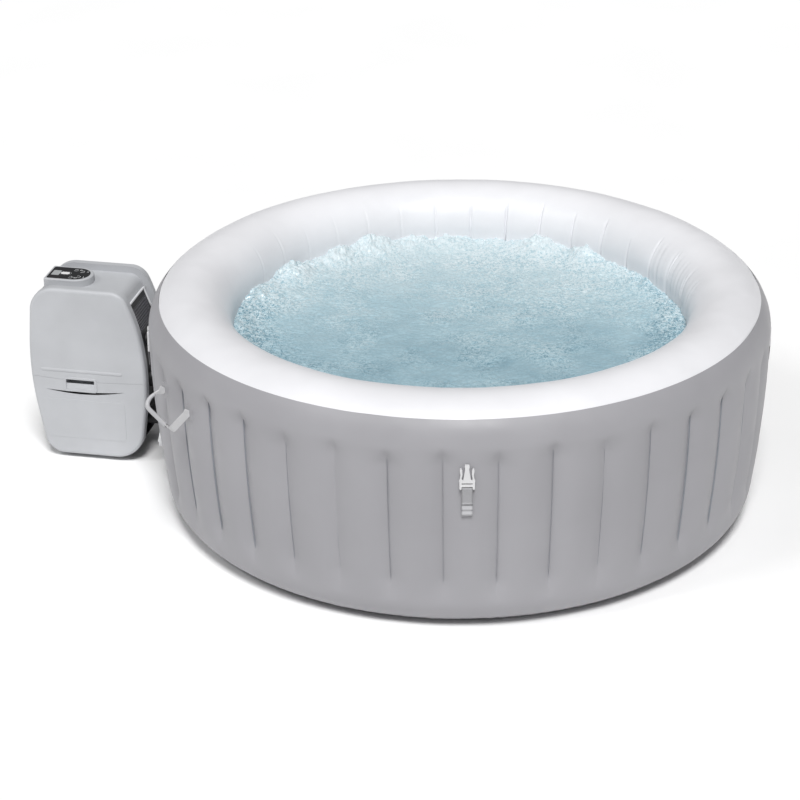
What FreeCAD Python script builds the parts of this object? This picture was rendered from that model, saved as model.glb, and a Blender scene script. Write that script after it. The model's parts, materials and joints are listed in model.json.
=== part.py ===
import FreeCAD, Part
import math
import os

V = FreeCAD.Vector
UP = V(0, 0, 1)

# Inflatable hot tub with its pump and heater unit, in millimetres.
# Origin: centre of the tub's base on the floor. +Z up, -Y towards the front buckle,
# -X towards the pump unit.

# ---------------------------------------------------------------- driving dimensions
# tub
TUB_RADIUS = 850.0          # widest outside radius of the air wall
TUB_HEIGHT = 640.0
RIM_RADIUS = 115.0          # the rim is half round: half the air wall's thickness
BASE_RADIUS = 820.0         # outside radius where the wall starts to turn under
CORNER_RADIUS = 98.0        # turn from the wall to the base
SKIN = 3.0                  # laminated sheet
SEAM_ANGLE = 43.5           # colour seam on the outside of the rim, degrees above level
WEB_COUNT = 38              # tension webs inside the air wall
WEB_START = 271.8           # heading from which the webs are spaced, degrees
WEB_THICKNESS = 2.0
WEB_BOTTOM = 120.0
WEB_TOP = 520.0
WEB_GAP = 0.1
RING_REACH = 62.0           # three-cornered air channel in the foot of the inner wall
RING_WALL = 2.5
JET_COUNT = 76
JET_RADIUS = 2.0

# pump unit: it stands beside the tub on a line PUMP_HEADING from +X, its middle plane
# PUMP_OFFSET to one side of the tub's axis
PUMP_HEADING = 169.0
PUMP_OFFSET = -70.0
PUMP_WIDTH = 225.0          # across the two side covers
COVER_DEPTH = 27.0
COVER_WALL = 3.0
COVER_FILLET = 10.0
COVER_FLANGE = 26.0
SPLIT_LINE = [(840, 262), (1085, 247), (1290, 261)]     # arc of the split between the covers
SPLIT_GAP = 0.6
BAND_INSET = 20.0           # how far the middle housing lies inside the side covers
BAND_WALL = 3.5
RIM_INSET = 3.0
OUTER_RIM = 1211.0          # the housing rises to a rim outside this distance
PUMP_BOTTOM = 12.0
PUMP_TOP = 528.0
BACK_TOP = 470.0            # top of the back panel, under the housing's lip

# ports between pump and tub, all in the pump's middle plane
PORT_HEIGHTS = {"suction": 105.0, "return": 225.0, "air": 345.0}
WATER_PIPE = (25.0, 21.5)   # outer and inner radius
AIR_PIPE = (19.0, 16.0)
COLLAR_RADIUS = 36.0

# straps
WEBBING = 26.0
WEBBING_THICKNESS = 1.6
BUCKLE_HEADINGS = {"front": 271.2, "right": 1.2, "back": 91.2, "left": 181.2}
BUCKLE_HINGE = 373.0        # height of the fold at the foot of the buckle strap
BUCKLE_FOOT = 431.0         # height of the lower edge of the buckle
HANDLE_HEADINGS = {"left": 209.3, "right": 29.3}
HANDLE_HEIGHT = 460.0
HANDLE_SPAN = 158.0         # between the two ends on the wall
HANDLE_OUT = 45.0           # how far the grip stands out from its hinge line
HANDLE_DROP = 38.0
GRIP_RADIUS = 6.5
GRIP_CORE = 4.0             # half the strap's width inside the grip
ROOT_HALF = 4.0             # half the strap's width where it folds at the wall
ROOT_TAPER = 14.0           # the strap reaches its full width this far from the wall

FIT = 0.05                  # running fit, radial
CLEAR = 0.4                 # free clearance between bodies

os.makedirs("parts", exist_ok=True)


# ---------------------------------------------------------------- helpers
def save(name, shape):
    shape.exportStep("parts/" + name + ".step")


def group(shapes):
    return Part.makeCompound(list(shapes))


def in_xz(a, b):
    return V(a, 0, b)


def in_xy(a, b):
    return V(a, b, 0)


def outline(corners, place=in_xz):
    """Closed wire of straight runs joined by tangent arcs, from (a, b, radius) corners."""
    points = [place(a, b) for a, b, radius in corners]
    arcs = []
    for i, (a, b, radius) in enumerate(corners):
        here = points[i]
        into = (points[i - 1] - here).normalize()
        out = (points[(i + 1) % len(points)] - here).normalize()
        half = into.getAngle(out) / 2
        reach = radius / math.tan(half)
        centre = here + (into + out).normalize() * (radius / math.sin(half))
        middle = centre + (here - centre).normalize() * radius
        arcs.append((here + into * reach, middle, here + out * reach))
    edges = []
    for i, (start, middle, end) in enumerate(arcs):
        edges.append(Part.Arc(start, middle, end).toShape())
        following = arcs[(i + 1) % len(arcs)][0]
        if end.distanceToPoint(following) > 1e-6:
            edges.append(Part.makeLine(end, following))
    return Part.Wire(Part.__sortEdges__(edges))


def polygon(points, place=in_xz):
    corners = [place(a, b) for a, b in points]
    return Part.Wire(Part.makePolygon(corners + corners[:1]))


def slab(wire, low, high, direction=V(0, 1, 0)):
    """Solid between two planes across direction, from a wire drawn at the origin's plane."""
    solid = Part.Face(wire).extrude(direction * (high - low))
    solid.translate(direction * low)
    return solid


def inset(wire, distance):
    """The wire moved inwards by distance."""
    return wire.makeOffset2D(-distance)


def box(low, high):
    size = V(*high) - V(*low)
    return Part.makeBox(size.x, size.y, size.z, V(*low))


def rod(radius, start, end):
    line = V(*end) - V(*start)
    return Part.makeCylinder(radius, line.Length, V(*start), line)


def tube(outer, inner, start, end):
    return rod(outer, start, end).cut(rod(inner, start, end))


def arc_edge(cx, cz, radius, start, end):
    """Arc in the XZ plane about (cx, cz), angles in degrees above +X."""
    points = []
    for angle in (start, (start + end) / 2, end):
        turn = math.radians(angle)
        points.append(V(cx + radius * math.cos(turn), 0, cz + radius * math.sin(turn)))
    return Part.Arc(*points).toShape()


def revolve(edges):
    face = Part.Face(Part.Wire(Part.__sortEdges__(edges)))
    return face.revolve(V(0, 0, 0), UP, 360)


def about(shape, heading):
    """Turn a shape about the tub's axis."""
    turned = shape.copy()
    turned.rotate(V(0, 0, 0), UP, heading)
    return turned


def at_pump(shape):
    return about(shape, PUMP_HEADING)


def bent_path(points, radius):
    """Wire of straight runs joined by tangent arcs through 3D points."""
    stops = [V(*p) for p in points]
    edges = []
    last = stops[0]
    for before, here, after in zip(stops, stops[1:], stops[2:]):
        into = (before - here).normalize()
        out = (after - here).normalize()
        half = into.getAngle(out) / 2
        reach = radius / math.tan(half)
        centre = here + (into + out).normalize() * (radius / math.sin(half))
        middle = centre + (here - centre).normalize() * radius
        start = here + into * reach
        if last.distanceToPoint(start) > 1e-6:
            edges.append(Part.makeLine(last, start))
        last = here + out * reach
        edges.append(Part.Arc(start, middle, last).toShape())
    edges.append(Part.makeLine(last, stops[-1]))
    return Part.Wire(edges)


def hose(points, radius, outer, inner):
    """Hollow bent pipe along a path."""
    path = bent_path(points, radius)
    start = V(*points[0])
    heading = V(*points[1]) - start
    solids = []
    for size in (outer, inner):
        ring = Part.Wire(Part.makeCircle(size, start, heading))
        solids.append(path.makePipeShell([ring], True, True))
    return solids[0].cut(solids[1])


def fillet_plane(solid, radius, axis, value):
    """Round every edge that lies in the plane where one coordinate equals value."""
    edges = []
    for edge in solid.Edges:
        heights = [getattr(edge.valueAt(t), axis) for t in edge.ParameterRange]
        middle = getattr(edge.valueAt(sum(edge.ParameterRange) / 2), axis)
        if max(abs(h - value) for h in heights + [middle]) < 1e-6:
            edges.append(edge)
    return solid.makeFillet(radius, edges)


# ---------------------------------------------------------------- the tub's profile
RIM_CENTRE = (TUB_RADIUS - RIM_RADIUS, TUB_HEIGHT - RIM_RADIUS)
INNER_RADIUS = TUB_RADIUS - 2 * RIM_RADIUS
FALL = RIM_CENTRE[1] - CORNER_RADIUS
WALL_ARC = (FALL ** 2 + (TUB_RADIUS - BASE_RADIUS) ** 2) / (2 * (TUB_RADIUS - BASE_RADIUS))
WALL_CENTRE = (TUB_RADIUS - WALL_ARC, RIM_CENTRE[1])
CORNER_REACH = math.sqrt((WALL_ARC - CORNER_RADIUS) ** 2 - FALL ** 2)
CORNER_CENTRE = (WALL_CENTRE[0] + CORNER_REACH, CORNER_RADIUS)
WALL_TURN = -math.degrees(math.atan2(FALL, CORNER_REACH))


def wall_radius(height):
    """Outside radius of the wall at a height between the corner and the rim."""
    return WALL_CENTRE[0] + math.sqrt(WALL_ARC ** 2 - (height - WALL_CENTRE[1]) ** 2)


def outer_edges(depth):
    """Outside wall profile, depth below the surface, from the colour seam to the base."""
    return [
        arc_edge(*RIM_CENTRE, RIM_RADIUS - depth, SEAM_ANGLE, 0),
        arc_edge(*WALL_CENTRE, WALL_ARC - depth, 0, WALL_TURN),
        arc_edge(*CORNER_CENTRE, CORNER_RADIUS - depth, WALL_TURN, -90),
    ]


def close_band(outside, inside):
    """Closed profile from two edge chains that run the same way."""
    first = Part.makeLine(outside[0].firstVertex(True).Point, inside[0].firstVertex(True).Point)
    last = Part.makeLine(outside[-1].lastVertex(True).Point, inside[-1].lastVertex(True).Point)
    return outside + inside + [first, last]


def wall_layer(low, high, offset, thickness):
    """Ring lying on the outside wall between two heights, offset above the surface."""
    angles = [math.degrees(math.asin((h - WALL_CENTRE[1]) / WALL_ARC)) for h in (high, low)]
    outside = [arc_edge(*WALL_CENTRE, WALL_ARC + offset + thickness, *angles)]
    inside = [arc_edge(*WALL_CENTRE, WALL_ARC + offset, *angles)]
    return revolve(close_band(outside, inside))


# ---------------------------------------------------------------- fittings through the wall
def local_surface(radius):
    """Distance along the pump line at which the middle plane meets a radius."""
    return math.sqrt(radius ** 2 - PUMP_OFFSET ** 2)


PORT_WALL = {name: local_surface(wall_radius(z)) for name, z in PORT_HEIGHTS.items()}
PORT_INNER = local_surface(INNER_RADIUS)
DRAIN_HEADING = 180.0
DRAIN_HEIGHT = 147.0
DRAIN_PIPE = (16.0, 12.5)   # outer and inner radius
DRAIN_CAP_RADIUS = 20.0
DRAIN_CAP_REACH = 16.0
VALVE_HEADING = 139.2
VALVE_HEIGHT = 300.0
VALVE_RADIUS = 22.0
VALVE_WALL = 3.0
FLANGE = 1.5                # thickness of the welded flanges and patches
WATER_FLANGES = (42.0, 40.0)        # radius outside and inside the wall
AIR_FLANGE = 34.0
DRAIN_FLANGE = 26.0
VALVE_FLANGE = 32.0


def port_line(name, start, end):
    height = PORT_HEIGHTS[name]
    return (start, PUMP_OFFSET, height), (end, PUMP_OFFSET, height)


AIR_FOOT = 24.0             # where the air pipe ends in the air channel ring
AIR_SIDE = -5.0
AIR_END = 604.0
AIR_FALL = 735.0            # distance along the pump line at which the air pipe runs down
AIR_ROUTE = [
    (PORT_WALL["air"] + 20, PUMP_OFFSET, PORT_HEIGHTS["air"]),
    (AIR_FALL, PUMP_OFFSET, PORT_HEIGHTS["air"]),
    (AIR_FALL, AIR_SIDE, PORT_HEIGHTS["air"] - 40),
    (AIR_FALL, AIR_SIDE, 70),
    (AIR_FALL - 45, AIR_SIDE, AIR_FOOT),
    (AIR_END + 2, AIR_SIDE, AIR_FOOT),
]
AIR_BEND = 24.0
AIR_LINE = (12.0, 9.5)


def air_ring_edges(step):
    """Three-cornered channel in the angle of the inner wall and the base, step inside its surface."""
    side = INNER_RADIUS - WEB_GAP - step
    foot = SKIN + WEB_GAP + step
    reach = RING_REACH - step * (2 + math.sqrt(2))
    return polygon([(side, foot), (side, foot + reach), (side - reach, foot)]).Edges


def tub_body():
    holes = []
    for name in ("suction", "return"):
        holes.append(at_pump(rod(WATER_PIPE[0], *port_line(name, PORT_INNER - 40, 900))))
    holes.append(at_pump(rod(AIR_PIPE[0], *port_line("air", 700, 900))))
    holes.append(about(rod(DRAIN_PIPE[0], (560, 0, DRAIN_HEIGHT), (900, 0, DRAIN_HEIGHT)), DRAIN_HEADING))
    air_entry = at_pump(rod(AIR_LINE[0], (AIR_END, AIR_SIDE, AIR_FOOT), (660, AIR_SIDE, AIR_FOOT)))
    valve_hole = about(rod(VALVE_RADIUS, (790, 0, VALVE_HEIGHT), (900, 0, VALVE_HEIGHT)), VALVE_HEADING)

    outer = revolve(close_band(outer_edges(0), outer_edges(SKIN)))
    save("outer_wall", outer.cut(group(holes + [valve_hole])))

    edges = []
    for depth in (0, SKIN):
        edges.append(arc_edge(*RIM_CENTRE, RIM_RADIUS - depth, SEAM_ANGLE, 180))
        side = INNER_RADIUS + depth
        edges.append(Part.makeLine(V(side, 0, RIM_CENTRE[1]), V(side, 0, SKIN)))
    inner = revolve(close_band(edges[:2], edges[2:]))
    save("top_and_inner_wall", inner.cut(group(holes + [air_entry])))

    save("base_sheet", rod(CORNER_CENTRE[0], (0, 0, 0), (0, 0, SKIN)))

    ring = revolve(air_ring_edges(0)).cut(revolve(air_ring_edges(RING_WALL)))
    middle = V(INNER_RADIUS - RING_REACH / 2, 0, SKIN + RING_REACH / 2)
    across = V(-1, 0, 1).normalize() * 2 * RING_WALL
    jets = []
    for number in range(JET_COUNT):
        jet = rod(JET_RADIUS, middle - across, middle + across)
        jets.append(about(jet, 360 / JET_COUNT * (number + 0.5)))
    save("air_channel_ring", ring.cut(group(jets + [air_entry])))


def tension_webs():
    """Radial sheets that hold the outer and inner walls parallel."""
    depth = SKIN + WEB_GAP
    angles = [math.degrees(math.asin((h - WALL_CENTRE[1]) / WALL_ARC)) for h in (WEB_TOP, WEB_BOTTOM)]
    outer = arc_edge(*WALL_CENTRE, WALL_ARC - depth, *angles)
    side = INNER_RADIUS + depth
    corners = [outer.firstVertex(True).Point, V(side, 0, WEB_TOP), V(side, 0, WEB_BOTTOM),
               outer.lastVertex(True).Point]
    edges = [outer] + [Part.makeLine(a, b) for a, b in zip(corners, corners[1:])]
    web = slab(Part.Wire(Part.__sortEdges__(edges)), -WEB_THICKNESS / 2, WEB_THICKNESS / 2)
    pitch = 360 / WEB_COUNT
    webs = []
    for number in range(WEB_COUNT):
        heading = (WEB_START + pitch * (number + 0.5)) % 360
        ports = PUMP_HEADING + math.degrees(math.atan2(PUMP_OFFSET, PORT_INNER))
        if abs(heading - ports) > pitch / 2:
            webs.append(about(web, heading))
    save("tension_webs", group(webs))


def flange(radius, hole, layer, start, end):
    """Disc welded on the wall round a pipe, following the wall's curve."""
    return layer.common(tube(radius, hole, start, end))


def wall_fittings():
    outside = wall_layer(40, 500, 0, FLANGE)
    inside = revolve(outline([(INNER_RADIUS - FLANGE, 50, 0.5), (INNER_RADIUS, 50, 0.5),
                              (INNER_RADIUS, 500, 0.5), (INNER_RADIUS - FLANGE, 500, 0.5)]).Edges)
    pipes = []
    for name, reach in (("suction", 16), ("return", 26)):
        line = port_line(name, PORT_INNER - reach, PORT_WALL[name] + 38)
        pipe = tube(*WATER_PIPE, *line)
        rim = flange(WATER_FLANGES[0], WATER_PIPE[0] - 1, about(outside, -PUMP_HEADING),
                     *port_line(name, PORT_INNER + 100, 900))
        lip = flange(WATER_FLANGES[1], WATER_PIPE[0] - 1, about(inside, -PUMP_HEADING),
                     *port_line(name, PORT_INNER - 40, PORT_INNER + 20))
        pipes.append(at_pump(pipe.fuse([rim, lip]).removeSplitter()))
    save("water_wall_pipes", group(pipes))

    line = port_line("air", PORT_WALL["air"] - 30, PORT_WALL["air"] + 38)
    stub = tube(*AIR_PIPE, *line)
    rim = flange(AIR_FLANGE, AIR_PIPE[0] - 1, about(outside, -PUMP_HEADING), *port_line("air", 760, 900))
    run = hose(AIR_ROUTE, AIR_BEND, AIR_PIPE[1], AIR_LINE[1])
    neck = tube(AIR_LINE[0], AIR_LINE[1], (AIR_END + 1, AIR_SIDE, AIR_FOOT), (650, AIR_SIDE, AIR_FOOT))
    clear = rod(AIR_PIPE[1] + 1, (560, AIR_SIDE, AIR_FOOT), (638, AIR_SIDE, AIR_FOOT))
    run = run.cut(clear)
    save("air_wall_pipe", at_pump(stub.fuse([rim, run, neck]).removeSplitter()))

    surface = wall_radius(DRAIN_HEIGHT)
    body = tube(*DRAIN_PIPE, (INNER_RADIUS - 8, 0, DRAIN_HEIGHT), (surface + 9, 0, DRAIN_HEIGHT))
    rim = flange(DRAIN_FLANGE, DRAIN_PIPE[0] - 1, outside,
                 (surface - 20, 0, DRAIN_HEIGHT), (900, 0, DRAIN_HEIGHT))
    lip = flange(DRAIN_FLANGE, DRAIN_PIPE[0] - 1, inside, (600, 0, DRAIN_HEIGHT), (640, 0, DRAIN_HEIGHT))
    body = body.fuse([rim, lip]).removeSplitter()
    save("drain_valve_body", about(body, DRAIN_HEADING))
    cap = rod(DRAIN_CAP_RADIUS, (surface + 5, 0, DRAIN_HEIGHT), (surface + DRAIN_CAP_REACH, 0, DRAIN_HEIGHT))
    cap = fillet_plane(cap, 2.5, "x", surface + DRAIN_CAP_REACH)
    cap = cap.cut(rod(DRAIN_PIPE[0] + FIT, (surface, 0, DRAIN_HEIGHT), (surface + 10, 0, DRAIN_HEIGHT)))
    rib = box((surface + 15, -14, DRAIN_HEIGHT - 2), (surface + 19, 14, DRAIN_HEIGHT + 2))
    save("drain_cap", about(cap.fuse(rib).removeSplitter(), DRAIN_HEADING))

    surface = wall_radius(VALVE_HEIGHT)
    mouth = surface + 4
    cup = rod(VALVE_RADIUS, (surface - 34, 0, VALVE_HEIGHT), (mouth, 0, VALVE_HEIGHT))
    cup = cup.cut(rod(VALVE_RADIUS - VALVE_WALL, (surface - 31, 0, VALVE_HEIGHT), (mouth, 0, VALVE_HEIGHT)))
    cup = cup.cut(rod(5, (surface - 40, 0, VALVE_HEIGHT), (surface - 20, 0, VALVE_HEIGHT)))
    rim = flange(VALVE_FLANGE, VALVE_RADIUS - 1, outside,
                 (surface - 20, 0, VALVE_HEIGHT), (900, 0, VALVE_HEIGHT))
    save("inflation_valve_body", about(cup.fuse(rim).removeSplitter(), VALVE_HEADING))
    cap = rod(VALVE_RADIUS, (mouth + CLEAR, 0, VALVE_HEIGHT), (mouth + 6, 0, VALVE_HEIGHT))
    cap = fillet_plane(cap, 2, "x", mouth + 6)
    plug = rod(VALVE_RADIUS - VALVE_WALL - FIT, (mouth - 12, 0, VALVE_HEIGHT), (mouth + 1, 0, VALVE_HEIGHT))
    bar = box((mouth + 5, -15, VALVE_HEIGHT - 2.5), (mouth + 10, 15, VALVE_HEIGHT + 2.5))
    save("inflation_valve_cap", about(cap.fuse([plug, bar]).removeSplitter(), VALVE_HEADING))


FILTER_POT = (50.0, 47.0)   # outer and inner radius
FILTER_LENGTH = 92.0
CARTRIDGE_LENGTH = 76.0
CARTRIDGE_RADIUS = 45.0
CARTRIDGE_BORE = 22.0
END_CAP = 4.0               # thickness of the cartridge's ends
PLEATS = 24
PLEAT_RADII = (36.0, 43.0)
FILTER_CAP_RADIUS = 54.0
SCREEN_RADIUS = 34.0


def filter_parts():
    """Filter pot on the suction pipe and the strainer on the return, inside the tub."""
    wall = PORT_INNER - 12
    mouth = wall - FILTER_LENGTH
    height = PORT_HEIGHTS["suction"]
    pot = rod(FILTER_POT[0], (mouth, PUMP_OFFSET, height), (wall, PUMP_OFFSET, height))
    pot = pot.cut(rod(FILTER_POT[1], (mouth, PUMP_OFFSET, height), (wall - 3, PUMP_OFFSET, height)))
    sleeve = rod(28, (wall - 3, PUMP_OFFSET, height), (wall + 4, PUMP_OFFSET, height))
    pot = pot.fuse(sleeve).cut(rod(WATER_PIPE[0], *port_line("suction", mouth, 900)))
    save("filter_housing", at_pump(pot.removeSplitter()))

    star = []
    for number in range(2 * PLEATS):
        radius = PLEAT_RADII[number % 2]
        turn = math.pi * number / PLEATS
        star.append((radius * math.cos(turn), radius * math.sin(turn)))
    far = CARTRIDGE_LENGTH - END_CAP
    paper = slab(polygon(star, in_xy), END_CAP, far, UP)
    rim = Part.Wire(Part.makeCircle(CARTRIDGE_RADIUS))
    ends = [slab(rim, low, low + END_CAP, UP) for low in (0, far)]
    cartridge = paper.fuse(ends).cut(Part.makeCylinder(CARTRIDGE_BORE, CARTRIDGE_LENGTH))
    cartridge.rotate(V(0, 0, 0), V(0, 1, 0), 90)
    cartridge.translate(V(mouth + 4, PUMP_OFFSET, height))
    save("filter_cartridge", at_pump(cartridge.removeSplitter()))

    cap = rod(FILTER_CAP_RADIUS, (mouth - 8, PUMP_OFFSET, height), (mouth + 6, PUMP_OFFSET, height))
    cap = fillet_plane(cap, 4, "x", mouth - 8)
    cap = cap.cut(rod(FILTER_POT[0] + FIT, (mouth - CLEAR, PUMP_OFFSET, height),
                      (mouth + 6, PUMP_OFFSET, height)))
    slots = []
    for number in range(-3, 4):
        half = 40 - 3 * abs(number)
        middle = height + 11 * number
        slots.append(box((mouth - 10, PUMP_OFFSET - half, middle - 2.5),
                         (mouth + 1, PUMP_OFFSET + half, middle + 2.5)))
    save("filter_cap", at_pump(cap.cut(group(slots))))

    height = PORT_HEIGHTS["return"]
    outer = PORT_INNER - 8
    screen = rod(SCREEN_RADIUS, (outer - 26, PUMP_OFFSET, height), (outer, PUMP_OFFSET, height))
    screen = fillet_plane(screen, 8, "x", outer - 26)
    screen = screen.cut(rod(WATER_PIPE[0] + FIT, (outer - 23, PUMP_OFFSET, height),
                            (outer, PUMP_OFFSET, height)))
    slots = []
    for number in range(-2, 3):
        middle = height + 9 * number
        half = 18 - 2 * abs(number)
        slots.append(box((outer - 30, PUMP_OFFSET - half, middle - 2),
                         (outer - 22, PUMP_OFFSET + half, middle + 2)))
    save("return_screen", at_pump(screen.cut(group(slots))))


# ---------------------------------------------------------------- straps on the wall
def buckle_outline():
    """Male half of a side-release buckle: base, two sprung arms and a broad guide tongue."""
    right = [
        (17.5, 0), (19, 3), (19, 19), (20, 23), (18, 29), (16.5, 40), (18, 50), (17.5, 56), (14, 58),
        (12, 53), (11.5, 42), (13.5, 30), (12.5, 25), (9.6, 25), (6.6, 44), (5.0, 57), (6.2, 61), (5.4, 67),
    ]
    left = [(-x, z) for x, z in reversed(right)]
    return right + left


BUCKLE_THICKNESS = 6.0
BUCKLE_SLOTS = [(3, 7.5), (14, 17.5)]       # for the webbing, above the buckle's lower edge
BUCKLE_PATCH = (16.0, 24.0)                 # half its width, and how far it reaches under the fold
HANDLE_PATCH = (19.0, 22.0)                 # half its width and half its height
LOOP_RADIUS = 3.6
LOOP_TAIL = 26.0


def patch_block(middle, half, low, high, corner):
    """Block that cuts a patch out of the layer on the wall."""
    return slab(outline([(middle - half, low, corner), (middle + half, low, corner),
                         (middle + half, high, corner), (middle - half, high, corner)]), -900, -800)


def strap_parts():
    base = BUCKLE_FOOT
    back = TUB_RADIUS + CLEAR + 0.3
    plate = slab(polygon([(x, z + base) for x, z in buckle_outline()]), 0, BUCKLE_THICKNESS)
    for low, high in BUCKLE_SLOTS:
        plate = plate.cut(box((-WEBBING / 2 - 0.6, -1, base + low), (WEBBING / 2 + 0.6, 7, base + high)))
    plate = plate.cut(box((-15, -1, base - 1), (15, 1.9, base + 3.01)))
    plate = plate.cut(box((-15, 4.1, base - 1), (15, 7, base + 3.01)))
    plate.rotate(V(0, 0, 0), UP, 90)
    plate.translate(V(back + 6.2, 0, 0))

    bar = base + 1.5
    bar_x = back + 3.2
    loop = (LOOP_RADIUS, LOOP_RADIUS - WEBBING_THICKNESS)
    outer = [arc_edge(bar_x, bar, loop[0], 180, 0)]
    inner = [arc_edge(bar_x, bar, loop[1], 180, 0)]
    stitched = bar - LOOP_TAIL
    for edges, reach in ((outer, loop[0]), (inner, loop[1])):
        edges.insert(0, Part.makeLine(V(bar_x - reach, 0, stitched), V(bar_x - reach, 0, bar)))
        edges.append(Part.makeLine(V(bar_x + reach, 0, bar), V(bar_x + reach, 0, stitched)))
    fold = slab(Part.Wire(Part.__sortEdges__(close_band(outer, inner))), -WEBBING / 2, WEBBING / 2)
    back_layer = box((bar_x - loop[0], -WEBBING / 2, BUCKLE_HINGE), (bar_x - loop[1], WEBBING / 2, bar))
    strap = fold.fuse(back_layer).removeSplitter()

    for side, heading in BUCKLE_HEADINGS.items():
        save("buckle_" + side, about(plate, heading))
        save("buckle_strap_" + side, about(strap, heading))

    layer = wall_layer(300, 500, 0, FLANGE)
    patches = []
    for heading in BUCKLE_HEADINGS.values():
        half, depth = BUCKLE_PATCH
        block = patch_block(0, half, BUCKLE_HINGE - depth, BUCKLE_HINGE - 1, 4)
        patches.append(layer.common(about(block, heading + 90)))
    for heading in HANDLE_HEADINGS.values():
        for side in (-1, 1):
            half, tall = HANDLE_PATCH
            block = patch_block(side * HANDLE_SPAN / 2, half, HANDLE_HEIGHT - tall, HANDLE_HEIGHT + tall, 6)
            patches.append(layer.common(about(block, heading + 90)))
    save("strap_patches", group(patches))


def handles():
    """Carry handles: a webbing loop through a round grip, hinged on its two wall ends."""
    half = HANDLE_SPAN / 2
    root = math.sqrt(TUB_RADIUS ** 2 - (half - 1) ** 2) + FLANGE + ROOT_HALF + CLEAR
    reach = math.hypot(HANDLE_OUT, HANDLE_DROP)
    layers = []
    for shift in (WEBBING_THICKNESS / 2, -WEBBING_THICKNESS / 2):
        far = reach + shift
        side = half + shift
        wire = outline([(-40, -side, 2), (far, -side, 9 + shift),
                        (far, side, 9 + shift), (-40, side, 2)], in_xy)
        layers.append(slab(wire, -WEBBING / 2, WEBBING / 2, UP))
    strap = layers[0].cut(layers[1]).cut(box((-50, -200, -50), (0, 200, 50)))
    edge = WEBBING / 2 + 1
    waist = polygon([(-1, ROOT_HALF), (ROOT_TAPER, WEBBING / 2), (reach - 22, WEBBING / 2),
                     (reach - GRIP_RADIUS - 3, GRIP_CORE), (reach + 20, GRIP_CORE),
                     (reach + 20, edge), (-1, edge)])
    above = slab(waist, -200, 200)
    below = above.mirror(V(0, 0, 0), UP)
    strap = strap.cut(group([above, below]))
    inner_half = WEBBING_THICKNESS / 2
    grip = rod(GRIP_RADIUS, (reach, -half + 14, 0), (reach, half - 14, 0))
    grip = grip.cut(box((reach - inner_half, -half, -GRIP_CORE), (reach + inner_half, half, GRIP_CORE)))
    droop = math.degrees(math.atan2(HANDLE_DROP, HANDLE_OUT))
    for name, heading in HANDLE_HEADINGS.items():
        for node, shape in (("strap", strap), ("grip", grip)):
            piece = shape.copy()
            piece.rotate(V(0, 0, 0), V(0, 1, 0), droop)
            piece.translate(V(root, 0, HANDLE_HEIGHT))
            save("carry_handle_" + node + "_" + name, about(piece, heading))


# ---------------------------------------------------------------- pump casing
NEAR = PUMP_OFFSET + PUMP_WIDTH / 2
SEAM = NEAR - COVER_DEPTH
FAR_SEAM = 2 * PUMP_OFFSET - SEAM
CASING = outline([
    (1203, PUMP_BOTTOM, 58), (1247, 262, 900), (1226, PUMP_TOP, 76), (957, PUMP_TOP, 56),
    (915, 430, 500), (892, 252, 700), (925, PUMP_BOTTOM, 88),
])
GRIP_LOW = (1048.0, 217.0)
GRIP_HIGH = (1140.0, 254.0)
RIDGE_HEIGHT = 277.0
RIDGE_ENDS = (973.0, 1205.0)
RIDGE_RADIUS = 9.0
RIDGE_PROUD = 1.8
SLOT_TIPS = [(963, 222), (1199, 216)]      # crescent slot under the grip
SLOT_UPPER = (1085, 213)
SLOT_LOWER = (1085, 205)
PANEL_CORNERS = [(965, 66), (1206, 66), (1206, 188), (965, 188)]
PANEL_PROUD = 0.7
SCREW_PLACES = [(1188, 470), (985, 470), (1185, 60), (990, 60)]
TUBE_RADIUS = 7.5


def mirrored(shape):
    return shape.mirror(V(0, PUMP_OFFSET, 0), V(0, 1, 0))


def side_cover():
    """Front side cover before it is split: a shallow tray with an inner flange."""
    cover = fillet_plane(slab(CASING, SEAM, NEAR), COVER_FILLET, "y", NEAR)
    hollow = slab(inset(CASING, COVER_WALL), SEAM + COVER_WALL, NEAR - COVER_WALL)
    hollow = fillet_plane(hollow, COVER_FILLET - COVER_WALL, "y", NEAR - COVER_WALL)
    cover = cover.cut(hollow)
    cover = cover.cut(slab(inset(CASING, COVER_FLANGE), SEAM - 1, SEAM + COVER_WALL + 1))

    ends = [V(x, NEAR + RIDGE_PROUD - RIDGE_RADIUS, RIDGE_HEIGHT) for x in RIDGE_ENDS]
    ridge = rod(RIDGE_RADIUS, *ends).fuse([Part.makeSphere(RIDGE_RADIUS, end) for end in ends])
    ridge = ridge.common(box((900, NEAR - 1, 200), (1300, NEAR + 5, 300)))
    panel = slab(outline([(x, z, 12) for x, z in PANEL_CORNERS]), NEAR - 1, NEAR + PANEL_PROUD)
    panel = fillet_plane(panel, PANEL_PROUD, "y", NEAR + PANEL_PROUD)
    cover = cover.fuse([ridge, panel]).removeSplitter()

    tips = [in_xz(*tip) for tip in SLOT_TIPS]
    edges = [Part.Arc(tips[0], in_xz(*middle), tips[1]).toShape() for middle in (SLOT_UPPER, SLOT_LOWER)]
    slot = slab(Part.Wire(edges), NEAR - COVER_WALL - 1, NEAR + 2)
    notch = box((GRIP_LOW[0], NEAR - 10, GRIP_LOW[1]), (GRIP_HIGH[0], NEAR + 5, GRIP_HIGH[1]))
    return cover.cut(slot).cut(notch)


def split_cover(cover):
    """Upper and lower covers, parted along a shallow arc."""
    halves = []
    for limit, shift in ((600, SPLIT_GAP / 2), (0, -SPLIT_GAP / 2)):
        start, middle, end = [in_xz(x, z + shift) for x, z in SPLIT_LINE]
        corners = [end, in_xz(end.x, limit), in_xz(start.x, limit), start]
        edges = [Part.makeLine(a, b) for a, b in zip(corners, corners[1:])]
        edges.append(Part.Arc(start, middle, end).toShape())
        halves.append(cover.common(slab(Part.Wire(Part.__sortEdges__(edges)), -300, 100)))
    return halves


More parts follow.
